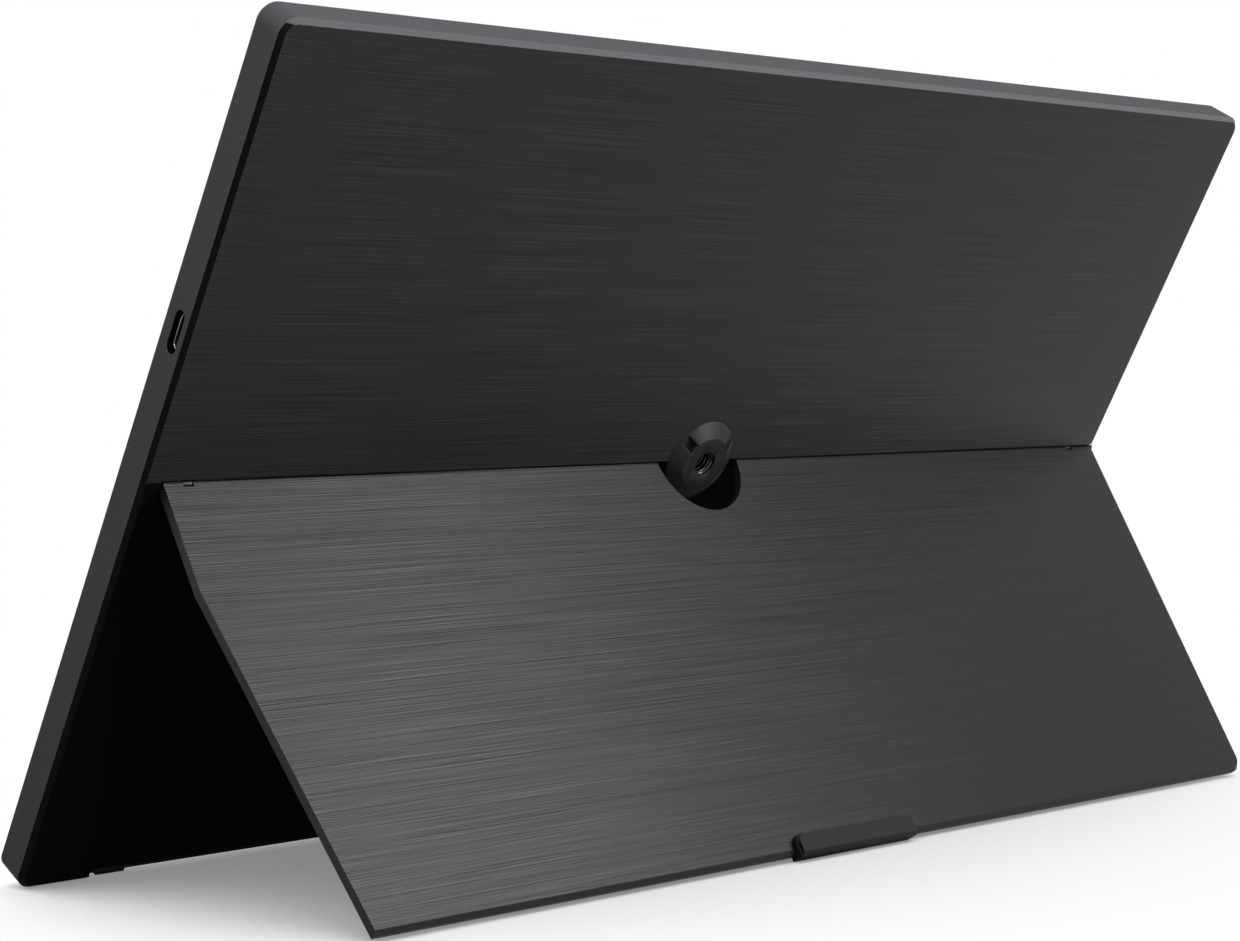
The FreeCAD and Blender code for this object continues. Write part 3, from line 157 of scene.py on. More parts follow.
class Value:
    """A number on a socket, reckoned with in plain expressions."""

    def __init__(self, tree: "Tree", socket: Socket) -> None:
        """Wrap a socket of a tree."""
        self.tree = tree
        self.socket = socket

    def reckon(self, operation: str, *terms: Number) -> "Value":
        """Add a Math node.

        Args:
            operation: the node's operation.
            terms: its numbers, in order.

        Returns:
            The node's result.
        """
        node = self.tree.node("ShaderNodeMath", dict(enumerate(terms)), operation=operation)
        return Value(self.tree, node.outputs[0])

    def __add__(self, other: Number) -> "Value":
        """This plus another."""
        return self.reckon("ADD", self, other)

    __radd__ = __add__

    def __sub__(self, other: Number) -> "Value":
        """This less another."""
        return self.reckon("SUBTRACT", self, other)

    def __rsub__(self, other: float) -> "Value":
        """Another less this."""
        return self.reckon("SUBTRACT", other, self)

    def __mul__(self, other: Number) -> "Value":
        """This times another."""
        return self.reckon("MULTIPLY", self, other)

    __rmul__ = __mul__

    def __gt__(self, other: float) -> "Value":
        """One where this is more than another, and nought elsewhere."""
        return self.reckon("GREATER_THAN", self, other)

    def __lt__(self, other: Number) -> "Value":
        """One where this is less than another, and nought elsewhere."""
        return self.reckon("LESS_THAN", self, other)

    def size(self) -> "Value":
        """This without its sign."""
        return self.reckon("ABSOLUTE", self)

    def wave(self, length: float) -> "Value":
        """A sine of this, with a wave of the given length."""
        return self.reckon("SINE", self * (2 * math.pi / length))

    def larger(self, other: Number) -> "Value":
        """The larger of this and another."""
        return self.reckon("MAXIMUM", self, other)

    def swing(self, width: float) -> "Value":
        """This noise about nought instead of about one half, times a width."""
        return (self - 0.5) * width

    def eased(self, low: float, high: float) -> "Value":
        """A smooth rise from nought where this is low to one where it is high."""
        ends = {"From Min": low, "From Max": high}
        if low > high:
            ends = {"From Min": high, "From Max": low, "To Min": 1.0, "To Max": 0.0}
        sockets = {"Value": self, **ends}
        node = self.tree.node("ShaderNodeMapRange", sockets, interpolation_type="SMOOTHSTEP")
        return Value(self.tree, node.outputs["Result"])


class Tree:
    """A node tree, with one method that adds any node."""

    def __init__(self, tree: bpy.types.NodeTree) -> None:
        """Take up a tree."""
        self.tree = tree

    def feed(self, socket: Socket, value: Any) -> None:
        """Set a socket to a value, or link another socket to it.

        Args:
            socket: the socket that is fed.
            value: a socket, a wrapped socket or a plain value.
        """
        source = value.socket if isinstance(value, Value) else value
        if isinstance(source, Socket):
            self.tree.links.new(source, socket)
        else:
            socket.default_value = source

    def node(self, kind: str, sockets: dict[Any, Any] | None = None, **settings: Any) -> bpy.types.Node:
        """Add a node.

        Args:
            kind: the node's type.
            sockets: values or links of its inputs, by name or number.
            settings: its settings, which are set first.

        Returns:
            The node.
        """
        node = self.tree.nodes.new(kind)
        for name, setting in settings.items():
            setattr(node, name, setting)
        for key, value in (sockets or {}).items():
            self.feed(node.inputs[key], value)
        return node


class Surface(Tree):
    """A material in the making, with one principled shader."""

    def __init__(self, name: str, posture: Posture | None = None) -> None:
        """Start a material of that name, on the upright drawing if a posture is given."""
        self.posture = posture
        self.material = bpy.data.materials.new(name)
        self.material.use_nodes = True
        super().__init__(self.material.node_tree)
        self.shader = self.tree.nodes["Principled BSDF"]

    @cached_property
    def spot(self) -> Socket:
        """The place on the piece, in millimetres."""
        where = self.node("ShaderNodeTexCoord").outputs["Object"]
        sockets = {"Vector": where, "Scale": (MM, MM, MM)}
        if self.posture:
            sockets.update(Location=self.posture.origin, Rotation=(self.posture.turn, 0.0, 0.0))
        return self.node("ShaderNodeMapping", sockets, vector_type="TEXTURE").outputs["Vector"]

    def parts(self) -> tuple[Value, Value, Value]:
        """The place's three numbers: across, out and up."""
        split = self.node("ShaderNodeSeparateXYZ", {0: self.spot})
        return tuple(Value(self, out) for out in split.outputs)

    def noise(self, lengths: Triple | float, detail: float = 2.0, rough: float = 0.5,
              shift: float = 0.0) -> Value:
        """Soft noise whose features have the given lengths along the three directions.

        Args:
            lengths: lengths of the features, in millimetres, or one for all directions.
            detail: finer layers that are added.
            rough: weight of the finer layers.
            shift: moves the pattern, so that two of them differ.

        Returns:
            The noise, about one half on average.
        """
        sides = lengths if isinstance(lengths, tuple) else (lengths,) * 3
        place = {"Vector": self.spot, "Scale": tuple(1 / side for side in sides), "Location": (shift,) * 3}
        moved = self.node("ShaderNodeMapping", place)
        sockets = {"Vector": moved.outputs["Vector"], "Scale": 1.0, "Detail": detail, "Roughness": rough}
        return Value(self, self.node("ShaderNodeTexNoise", sockets).outputs["Fac"])

    def cells(self, length: float, feature: str = "F1") -> Value:
        """Distances in a pattern of cells of about one length."""
        sockets = {"Vector": self.spot, "Scale": 1 / length}
        cell = self.node("ShaderNodeTexVoronoi", sockets, feature=feature)
        return Value(self, cell.outputs["Distance"])

    def blend(self, share: Value, first: Any, second: Any) -> Socket:
        """A colour between two, by a share of the second."""
        sockets = {0: share, MIX_FIRST: first, MIX_SECOND: second}
        return self.node("ShaderNodeMix", sockets, data_type="RGBA").outputs[MIX_RESULT]

    def eased(self, radius: float) -> Socket:
        """The normal with its sharp edges eased to a radius in millimetres."""
        return self.node("ShaderNodeBevel", {"Radius": radius * MM}, samples=4).outputs["Normal"]

    def openness(self, distance: float, samples: int) -> Value:
        """One in the open and nought in a corner, by what is within a distance in metres."""
        node = self.node("ShaderNodeAmbientOcclusion", {"Distance": distance}, samples=samples)
        return Value(self, node.outputs["AO"])

    def relief(self, height: Value, depth: float, edge: float = 0.0) -> Socket:
        """The normal of a surface with relief, and with its edges eased.

        Args:
            height: the relief, from nought to one.
            depth: depth of the relief, in millimetres.
            edge: radius to which sharp edges seem eased, in millimetres.

        Returns:
            The normal.
        """
        sockets = {"Height": height, "Distance": depth * MM, "Strength": 1.0}
        if edge:
            sockets["Normal"] = self.eased(edge)
        return self.node("ShaderNodeBump", sockets).outputs["Normal"]

    def edge_share(self, radius: float) -> Value:
        """One along sharp edges and nought on flats, up to a radius in millimetres."""
        sockets = {0: self.eased(radius), 1: self.node("ShaderNodeNewGeometry").outputs["Normal"]}
        alike = self.node("ShaderNodeVectorMath", sockets, operation="DOT_PRODUCT")
        return Value(self, alike.outputs["Value"]).eased(*WEAR_AND_HIGHLIGHT_ENDS)

    def dress(self, **inputs: Any) -> Material:
        """Feed the shader's inputs, written with _ for a space, and give the material."""
        for name, value in inputs.items():
            self.feed(self.shader.inputs[name.replace("_", " ")], value)
        return self.material


def hairlines(surface: Surface, length: float) -> tuple[Value, Value]:
    """Fine lines that run across the case, as a brush leaves them on sheet.

    Args:
        surface: the material that gets them.
        length: about how long a line is, in millimetres.

    Returns:
        The lines' tone, about one half on average, and their relief.
    """
    fine = surface.noise((length, LINE_DEPTH, LINE_WIDTH), detail=1.0, shift=31.0)
    bands = surface.noise((BAND_LENGTH, LINE_DEPTH, BAND_WIDTH), rough=0.55)
    return 0.52 + fine.swing(0.9) + bands.swing(0.35), fine * 0.7 + bands * 0.3


@dataclass(frozen=True)
class Finish:
    """The look of a material. Each kind of look says what the shader is fed with."""

    name: str

    def inputs(self, surface: Surface) -> Inputs:
        """The shader's inputs by name."""
        raise NotImplementedError

    def make(self, posture: Posture | None = None) -> Material:
        """Build the material, on the upright drawing if a posture is given."""
        surface = Surface(self.name, posture)
        return surface.dress(**self.inputs(surface))


@dataclass(frozen=True)
class BrushedFinish(Finish):
    """Dark sheet, brushed across the case, smoother where it is light."""

    dark: Colour
    light: Colour
    line: float = 75.0

    def inputs(self, surface: Surface) -> Inputs:
        """The shader's inputs by name."""
        tone, lines = hairlines(surface, self.line)
        return dict(
            Base_Color=surface.blend(tone, self.dark, self.light),
            Metallic=1.0,
            Roughness=(1 - tone) * 0.16 + 0.22,
            Specular_IOR_Level=0.3,
            Normal=surface.relief(lines, depth=0.14),
        )


@dataclass(frozen=True)
class CaseFinish(Finish):
    """The rear cover: brushed above the hinge, finely grained elsewhere, with painted shade on its eased rim, a
    painted highlight on its top chamfer, and near-black painted shade in the stand's recess and on the band below
    the hinge.

    Its zones are told apart by their places on the drawing.
    """

    dark: Colour
    light: Colour
    plastic: Colour
    speck: Colour
    # Painted shade: dark colour on the eased rim's side and bottom chamfers.
    rim: Colour
    # Near-black painted shade for the stand's recess and the band below the hinge.
    inside: Colour
    # Painted highlight: lighter colour on the top chamfer.
    crest_highlight: Colour
    line: float = 55.0
    grain: float = 0.3
    rear_face: float = -0.04
    rim_start: float = -1.17
    hinge_step: float = 113.6
    crest_start: float = 224.9
    hollow_start: float = -2.0
    hollow_floor: float = 1.0
    hollow_half: float = 178.6
    port_depth: float = 1.1
    port_low: float = 120.0
    port_high: float = 200.0

    def inputs(self, surface: Surface) -> Inputs:
        """The shader's inputs by name."""
        across, out, up = surface.parts()
        flat = out > self.rear_face
        brushed = flat * (up > self.hinge_step)
        edge = out > self.rim_start
        # Painted shade on the rim's chamfers, and a painted highlight on the top chamfer.
        rim = edge * (up < self.crest_start)
        crest_highlight = edge * (up > self.crest_start)
        # Painted shade: the recess behind the stand and the flat band below the hinge take the near-black inside
        # colour.
        reach = self.hollow_half + self.port_depth * ((up > self.port_low) * (up < self.port_high))
        deep = (out < self.hollow_start) * (across.size() < reach)
        hollow = deep * (up > self.hollow_floor) * (up < self.crest_start)
        painted_shade_zone = hollow.larger(flat * (up < self.hinge_step))
        tone, lines = hairlines(surface, self.line)
        grain = surface.noise(self.grain, *SHARP)
        # Lighter edges: partly wear, partly painted edge highlight.
        wear_and_highlight = surface.edge_share(0.35) * (0.3 + grain)
        plastic = surface.blend(grain.eased(0.56, 0.74).larger(wear_and_highlight), self.plastic, self.speck)
        for share, colour in ((rim, self.rim), (crest_highlight * (0.4 + grain), self.crest_highlight), (painted_shade_zone, self.inside)):
            plastic = surface.blend(share, plastic, colour)
        smooth = brushed * ((1 - tone) * 0.14 + 0.18)
        matt = (1 - brushed) * (0.5 + 0.16 * grain - 0.08 * wear_and_highlight)
        return dict(
            Base_Color=surface.blend(brushed, plastic, surface.blend(tone, self.dark, self.light)),
            Metallic=brushed,
            Roughness=smooth + matt,
            Specular_IOR_Level=0.03,
            Normal=surface.relief(brushed * lines * 5 + (1 - brushed) * grain, depth=0.014, edge=0.14),
        )


@dataclass(frozen=True)
class GrainedFinish(Finish):
    """Moulded plastic or rubber with a fine spark-eroded grain, and painted shade in its corners if asked."""

    colour: Colour
    speck: Colour
    roughness: float = 0.5
    grain: float = 0.3
    depth: float = 0.012
    edge: float = 0.12
    specular: float = 0.4
    # Reach of the painted shade in corners, in millimetres.
    shade_reach: float = 0.0
    cloud: float = 14.0

    def inputs(self, surface: Surface) -> Inputs:
        """The shader's inputs by name."""
        grain = surface.noise(self.grain, *SHARP)
        cloud = surface.noise(self.cloud, shift=9.0)
        # Lighter edges: partly wear, partly painted edge highlight.
        wear_and_highlight = surface.edge_share(self.edge * 2.5) * (0.5 + grain)
        share = (grain.eased(0.5, 0.72) * 0.7 + cloud * 0.3).larger(wear_and_highlight)
        colour = surface.blend(share, self.colour, self.speck)
        rough = self.roughness + grain.swing(0.16) + cloud.swing(0.1) - 0.08 * wear_and_highlight
        if self.shade_reach:
            # Painted shade: near black where ambient occlusion finds a corner or slot.
            corner_shade = surface.openness(self.shade_reach * MM, samples=8).eased(0.85, 0.55)
            colour = surface.blend(corner_shade, colour, PAINTED_SHADE)
            rough = rough + 0.4 * corner_shade
        return dict(
            Base_Color=colour,
            Roughness=rough,
            Specular_IOR_Level=self.specular,
            Normal=surface.relief(grain, self.depth, self.edge),
        )


@dataclass(frozen=True)
class PadFinish(Finish):
    """Black rubber whose walls take near-black painted shade and whose proud face keeps a lighter, lit tone; its
    edges are lighter from wear and painted highlight.
    """

    # Near-black painted shade on the pad's walls and underside.
    colour: Colour
    # The lighter tone of the proud face, as it is lit.
    lit_face: Colour
    # Lighter edges: wear and painted edge highlight.
    rubbed_and_highlight: Colour
    face_out: float = 1.15
    face_half: float = 22.1
    face_top: float = 4.5
    grain: float = 0.2
    cloud: float = 11.0

    def inputs(self, surface: Surface) -> Inputs:
        """The shader's inputs by name."""
        across, out, up = surface.parts()
        grain = surface.noise(self.grain, *SHARP)
        cloud = surface.noise(self.cloud)
        face = (across.size() < self.face_half) * (up < self.face_top) * (out > self.face_out)
        # Painted light: only the proud face keeps the lighter tone; the rest is painted shade.
        lit_face = face * (0.8 + cloud.swing(0.4))
        # Lighter edges: partly wear, partly painted edge highlight.
        wear_and_highlight = surface.edge_share(0.22) * (0.35 + 0.5 * grain)
        return dict(
            Base_Color=surface.blend(wear_and_highlight, surface.blend(lit_face, self.colour, self.lit_face), self.rubbed_and_highlight),
            Roughness=0.62 + grain.swing(0.16) - 0.1 * wear_and_highlight,
            Specular_IOR_Level=0.08,
            Normal=surface.relief(grain, depth=0.008, edge=0.1),
        )


@dataclass(frozen=True)
class MetalFinish(Finish):
    """Bare or plated metal with drawing marks and slight stains, lighter at its edges from wear and painted
    highlight; a set share of the stain colour can paint shade over the whole part.
    """

    colour: Colour
    stain_and_shade: Colour
    roughness: float = 0.3
    marks: Triple = (4.0, 0.25, 0.25)
    edge: float = 0.05
    # Least share of the second colour; on the port shell it paints shade over the whole part.
    stain_and_shade_share: float = 0.0
    cloud: float = 5.0

    def inputs(self, surface: Surface) -> Inputs:
        """The shader's inputs by name."""
        drawn = surface.noise(self.marks, *SHARP)
        cloud = surface.noise(self.cloud, *SHARP, shift=4.0)
        # Lighter edges: partly wear, partly painted edge highlight.
        wear_and_highlight = surface.edge_share(self.edge * 3)
        # The second colour covers random stains, plus the set share as painted shade; edges keep the first colour.
        stain_and_shade_share = cloud.eased(0.4, 0.75).larger(self.stain_and_shade_share)
        return dict(
            Base_Color=surface.blend(stain_and_shade_share * (1 - wear_and_highlight), self.colour, self.stain_and_shade),
            Metallic=1.0,
            Roughness=self.roughness + drawn.swing(0.2) + cloud.swing(0.15) - 0.06 * wear_and_highlight,
            Normal=surface.relief(drawn, depth=0.004, edge=self.edge),
        )


@dataclass(frozen=True)
class ScreenFinish(Finish):
    """Screen glass: a dark picture area inside a black printed border, under a matt coating."""

    picture: Colour
    border: Colour
    half_width: float = 172.1
    low: float = 24.8
    high: float = 218.4
    haze: float = 0.12
    cloud: float = 60.0

    def inputs(self, surface: Surface) -> Inputs:
        """The shader's inputs by name."""
        across, _, up = surface.parts()
        lit = (across.size() < self.half_width) * (up > self.low) * (up < self.high)
        haze = surface.noise(self.haze, rough=0.6)
        cloud = surface.noise(self.cloud)
        return dict(
            Base_Color=surface.blend(lit * (0.85 + cloud.swing(0.3)), self.border, self.picture),
            Roughness=0.2 + 0.14 * haze + 0.06 * cloud,
            Specular_IOR_Level=0.3,
            Coat_Roughness=0.25,
            Coat_Weight=0.3 * lit,
            Normal=surface.relief(haze, depth=0.002),
        )


@dataclass(frozen=True)
class FilmFinish(Finish):
    """Thin clear or white optical sheet with faint ridges."""

    colour: Colour
    tint: Colour
    ridge: float = 0.3
    roughness: float = 0.35
    clear: float = 0.0
    cloud: float = 40.0

    def inputs(self, surface: Surface) -> Inputs:
        """The shader's inputs by name."""
        _, _, up = surface.parts()
        ridges = up.wave(self.ridge) * 0.5 + 0.5
        cloud = surface.noise(self.cloud, detail=3.0)
        return dict(
            Base_Color=surface.blend(cloud, self.colour, self.tint),
            Roughness=self.roughness + cloud.swing(0.2),
            Transmission_Weight=self.clear,
            Normal=surface.relief(ridges, depth=0.01),
        )


@dataclass(frozen=True)
class BoardFinish(Finish):
    """Circuit board: dark lacquer over tracks, with bright solder pads."""

    lacquer: Colour
    track: Colour
    solder: Colour
    track_pitch: float = 3.4
    pad_pitch: float = 2.3
    weave: float = 0.5

    def inputs(self, surface: Surface) -> Inputs:
        """The shader's inputs by name."""
        tracks = surface.cells(self.track_pitch, "DISTANCE_TO_EDGE").eased(0.07, 0.03)
        pads = surface.cells(self.pad_pitch).eased(0.2, 0.16)
        weave = surface.noise(self.weave)
        lacquer = surface.blend(tracks, self.lacquer, self.track)
        return dict(
            Base_Color=surface.blend(pads, lacquer, self.solder),
            Metallic=pads * 0.9,
            Roughness=0.32 + 0.15 * weave,
            Normal=surface.relief((tracks * 0.5).larger(pads), depth=0.03, edge=0.05),
        )


@dataclass(frozen=True)
class CableFinish(Finish):
    """Flat cable: pale film over a row of conductors."""

    film: Colour
    wire: Colour
    pitch: float = 0.8
    cloud: float = 8.0

    def inputs(self, surface: Surface) -> Inputs:
        """The shader's inputs by name."""
        across, _, _ = surface.parts()
        rows = across.wave(self.pitch).eased(-0.2, 0.5)
        cloud = surface.noise(self.cloud)
        return dict(
            Base_Color=surface.blend(rows * (0.8 + cloud.swing(0.3)), self.film, self.wire),
            Roughness=0.35 + 0.2 * cloud,
            Normal=surface.relief(rows, depth=0.02),
        )


STEEL = MetalFinish("Steel_Drawn", shade(176, 178, 182), shade(140, 141, 144))
HINGE_STEEL = MetalFinish("Steel_Hinge_Black", shade(56, 56, 58), shade(42, 42, 44), roughness=0.4)
INSERT_STEEL = MetalFinish("Steel_Threaded", shade(70, 71, 73), shade(36, 36, 38), roughness=0.22)
SCREW_STEEL = MetalFinish("Steel_Screw_Black", shade(74, 75, 78), shade(52, 52, 55), roughness=0.35)
# Painted shade and painted highlight: the shell is mostly the dark second colour, as shade inside the port, and
# keeps the bright first colour only on its edges.
PORT_STEEL = MetalFinish("Steel_Port", shade(236, 237, 240), shade(44, 44, 46), edge=0.07, stain_and_shade_share=0.92)
GOLD = MetalFinish("Contact_Gold", shade(226, 186, 104), shade(190, 150, 80), roughness=0.25)
TIN = MetalFinish("Tin_Shield", shade(188, 190, 190), shade(150, 152, 154), 0.35, marks=(0.4, 3.0, 3.0))
STAND_SHEET = BrushedFinish("Stand_Brushed_Sheet", shade(29, 30, 30), shade(48, 49, 50))
# The rim colour is painted shade on the chamfers, the crest colour a painted highlight on the top chamfer, and the
# inside colour near-black painted shade in the recess and below the hinge.
CASE = CaseFinish(
    "Rear_Cover", dark=shade(19, 19, 19), light=shade(61, 61, 61), plastic=shade(57, 58, 60),
    speck=shade(79, 80, 82), rim=shade(12, 12, 13), inside=shade(4, 4, 4), crest_highlight=shade(80, 81, 83))
STAND_PLASTIC = GrainedFinish(
    "Stand_Plastic", shade(21, 22, 23), shade(33, 34, 35), 0.45, 0.25, depth=0.008, specular=0.15)
# Painted shade darkens the nose's slots and the mouth of its bore.
NOSE_PLASTIC = GrainedFinish(
    "Nose_Plastic", shade(8, 8, 9), shade(18, 18, 19), 0.46, 0.28, 0.02, edge=0.2, specular=0.2, shade_reach=2.5)
BEZEL_PLASTIC = GrainedFinish("Bezel_Plastic", shade(24, 24, 25), shade(34, 34, 36), roughness=0.55)
KEY_PLASTIC = GrainedFinish("Key_Plastic", shade(40, 41, 43), shade(56, 57, 60), 0.48, 0.22, depth=0.01)
RUBBER = GrainedFinish(
    "Rubber_Black", shade(31, 32, 33), shade(43, 44, 46), 0.62, 0.16, 0.008, edge=0.1, specular=0.1)
# First colour: near-black painted shade on the walls; second: the lit face; third: wear and painted highlight on
# the edges.
PAD_RUBBER = PadFinish("Rubber_Pad", shade(8, 8, 9), shade(31, 33, 35), shade(58, 59, 61))
SWITCH_PLASTIC = GrainedFinish("Switch_Plastic", shade(30, 30, 32), shade(44, 44, 46), 0.4, depth=0.006)
SOCKET_PLASTIC = GrainedFinish(
    "Socket_Plastic", shade(214, 206, 186), shade(226, 220, 204), 0.45, 0.4, depth=0.006)
PORT_PLASTIC = GrainedFinish("Port_Plastic", shade(20, 20, 21), shade(30, 30, 31), 0.4, 0.2, depth=0.005)
CHIP = GrainedFinish("Chip_Epoxy", shade(24, 24, 25), shade(48, 48, 49), grain=0.2, depth=0.01)
LAMPS = GrainedFinish("Lamp_Strip", shade(226, 214, 150), shade(242, 236, 200), 0.4, 0.5, depth=0.01)
SCREEN = ScreenFinish("Screen_Glass", shade(17, 18, 20), shade(5, 5, 6))
PRISM = FilmFinish("Film_Optical", shade(216, 219, 222), shade(228, 230, 232), roughness=0.3, clear=0.4)
WHITE_FILM = FilmFinish("Film_White", shade(232, 232, 230), shade(240, 240, 238), 0.9, roughness=0.5)
GUIDE = FilmFinish("Guide_Acrylic", shade(226, 232, 234), shade(236, 240, 241), 1.4, 0.15, clear=0.6)
BOARD = BoardFinish("Circuit_Board", shade(16, 44, 30), shade(28, 66, 46), shade(196, 190, 176))
CABLE = CableFinish("Flat_Cable", shade(214, 216, 214), shade(150, 128, 84))


def dress_nodes(material: Material, nodes: Iterable[str]) -> None:
    """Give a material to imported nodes.

    Args:
        material: the finish.
        nodes: names of the nodes.
    """
    for node in nodes:
        for slot in frame["nodes"][node].material_slots:
            slot.material = material
        LOG.info("node %s: %s", node, material.name)


def make_piece(name: str, mesh: Mesh, material: Material | None = None) -> Object:
    """An object at the origin from a finished mesh.

    Args:
        name: the piece's name.
        mesh: its mesh, in place in the scene.
        material: its finish, if the mesh has none yet.

    Returns:
        The object.
    """
    mesh.name = name
    if material:
        mesh.materials.clear()
        mesh.materials.append(material)
    piece = bpy.data.objects.new(name, mesh)
    bpy.context.scene.collection.objects.link(piece)
    return piece


def settled_mesh(host: Object) -> Mesh:
    """The plain mesh that an object's modifiers give; the object is removed.

    Args:
        host: an object with live modifiers.

    Returns:
        A mesh of its own.
    """
    graph = bpy.context.evaluated_depsgraph_get()
    mesh = bpy.data.meshes.new_from_object(host.evaluated_get(graph))
    bpy.data.objects.remove(host)
    return mesh


def joined_copy(node: str) -> bmesh.types.BMesh:
    """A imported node's mesh with its loose triangles joined and its flats made whole."""
    shape = bmesh.new()
    shape.from_mesh(frame["nodes"][node].data)
    bmesh.ops.remove_doubles(shape, verts=shape.verts, dist=WELD)
    flat = math.radians(FLAT_ANGLE)
    bmesh.ops.dissolve_limit(shape, angle_limit=flat, verts=shape.verts, edges=shape.edges)
    return shape


def smooth(mesh: Mesh, angle: float) -> None:
    """Shade a mesh as round, but for edges sharper than an angle in degrees."""
    for face in mesh.polygons:
        face.use_smooth = True
    mesh.set_sharp_from_angle(angle=math.radians(angle))


def eased_copy(node: str, name: str, width: float, material: Material,
               segments: int = 3, angle: float = 28.0) -> Object:
    """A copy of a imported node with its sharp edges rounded.

    Args:
        node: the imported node.
        name: name of the new piece.
        width: width of the rounding, in millimetres.
        material: its finish.
        segments: faces across a rounding.
        angle: edges sharper than this, in degrees, are rounded.

    Returns:
        The piece.
    """
    shape = joined_copy(node)
    mesh = bpy.data.meshes.new(name)
    shape.to_mesh(mesh)
    shape.free()
    host = make_piece(f"{name}_host", mesh)
    bevel = host.modifiers.new("Round", "BEVEL")
    bevel.width = width * MM
    bevel.segments = segments
    bevel.limit_method = "ANGLE"
    bevel.angle_limit = math.radians(angle)
    bevel.harden_normals = True
    mesh = settled_mesh(host)
    smooth(mesh, angle)
    return make_piece(name, mesh, material)


def islands(node: str, posture: Posture) -> list[tuple[Vector, Vector]]:
    """Lowest and highest corners of each separate solid of a node, on the upright drawing.

    Args:
        node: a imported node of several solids.
        posture: the posture of its sub-assembly.

    Returns:
        One pair of corners, in millimetres, for each solid.
    """
    shape = joined_copy(node)
    left = set(shape.verts)
    boxes = []
    while left:
        reached = [left.pop()]
        spots = []
        while reached:
            vertex = reached.pop()
            spots.append(posture.local(vertex.co))
            near = {edge.other_vert(vertex) for edge in vertex.link_edges} & left
            left -= near
            reached.extend(near)
        low = Vector(min(spot[axis] for spot in spots) for axis in range(3))
        high = Vector(max(spot[axis] for spot in spots) for axis in range(3))
        boxes.append((low, high))
    shape.free()
    return sorted(boxes, key=lambda box: tuple(box[0]))


def turned(profile: Sequence[tuple[float, float]], steps: int = 64) -> bmesh.types.BMesh:
    """A closed ring turned about the Y axis.

    Args:
        profile: radius and height of the corners of its section, in order.
        steps: faces round the axis.

    Returns:
        The shape, in the units of the profile.
    """
    shape = bmesh.new()
    rows = []
    for step in range(steps):
        angle = 2 * math.pi * step / steps
        rows.append([shape.verts.new((r * math.cos(angle), y, r * math.sin(angle))) for r, y in profile])
    for row, following in zip(rows, rows[1:] + rows[:1]):
        for index in range(len(profile)):
            after = (index + 1) % len(profile)
            shape.faces.new((row[index], following[index], following[after], row[after]))
    bmesh.ops.recalc_face_normals(shape, faces=shape.faces)
    return shape


class Recipe(Tree):
    """A geometry node tree with named inputs for its sizes."""

    def __init__(self, name: str) -> None:
        """Start a tree of that name."""
        group = bpy.data.node_groups.new(name, "GeometryNodeTree")
        super().__init__(group)
        group.interface.new_socket("Geometry", in_out="INPUT", socket_type="NodeSocketGeometry")
        group.interface.new_socket("Geometry", in_out="OUTPUT", socket_type="NodeSocketGeometry")
        self.start = self.node("NodeGroupInput")
        self.finish = self.node("NodeGroupOutput")

    def size(self, name: str, kind: str = "NodeSocketFloat") -> Value:
        """A new named input of the tree."""
        self.tree.interface.new_socket(name, in_out="INPUT", socket_type=kind)
        return Value(self, self.start.outputs[name])

    def triple(self, x: Any, y: Any, z: Any) -> Socket:
        """A vector of three numbers."""
        return self.node("ShaderNodeCombineXYZ", {0: x, 1: y, 2: z}).outputs[0]

    def moved(self, shape: Socket, shift: Any, turn: Triple = ZERO) -> Socket:
        """A shape that is turned and then shifted."""
        sockets = {"Geometry": shape, "Translation": shift, "Rotation": turn}
        return self.node("GeometryNodeTransform", sockets).outputs["Geometry"]

    def joined(self, *shapes: Socket) -> Socket:
        """Several shapes as one."""
        node = self.node("GeometryNodeJoinGeometry")
        for shape in shapes:
            self.tree.links.new(shape, node.inputs[0])
        return node.outputs[0]

    def combined(self, operation: str, shapes: Iterable[Socket], base: Inputs | None = None) -> Socket:
        """Shapes that are united, or taken from the base that is fed in first."""
        node = self.node("GeometryNodeMeshBoolean", base, operation=operation)
        for shape in shapes:
            self.tree.links.new(shape, node.inputs["Mesh 2"])
        return node.outputs["Mesh"]

    def repeated(self, points: Socket, shape: Socket) -> Socket:
        """One shape at each of the points."""
        return self.node("GeometryNodeInstanceOnPoints", {"Points": points, "Instance": shape}).outputs[0]

    def close(self, shape: Socket) -> "Recipe":
        """End the tree: real geometry with the finish that is named last among its inputs."""
        finish = self.size("Finish", "NodeSocketMaterial")
        real = self.node("GeometryNodeRealizeInstances", {"Geometry": shape})
        dressed = self.node("GeometryNodeSetMaterial", {"Geometry": real.outputs[0], "Material": finish})
        self.tree.links.new(dressed.outputs[0], self.finish.inputs[0])
        return self

    def grow(self, points: Sequence[Triple], sizes: dict[str, Any]) -> Mesh:
        """Run the tree.

        Args:
            points: where its shapes go; a tree that needs no points gets one.
            sizes: values of its inputs, by name.

        Returns:
            A plain mesh.
        """
        seed = bpy.data.meshes.new("seed")
        seed.from_pydata(list(points), [], [])
        host = make_piece("seed_host", seed)
        modifier = host.modifiers.new("Recipe", "NODES")
        modifier.node_group = self.tree
        for item in self.tree.interface.items_tree:
            if item.in_out == "INPUT" and item.name in sizes:
                modifier[item.identifier] = sizes[item.name]
        host.update_tag()
        return settled_mesh(host)


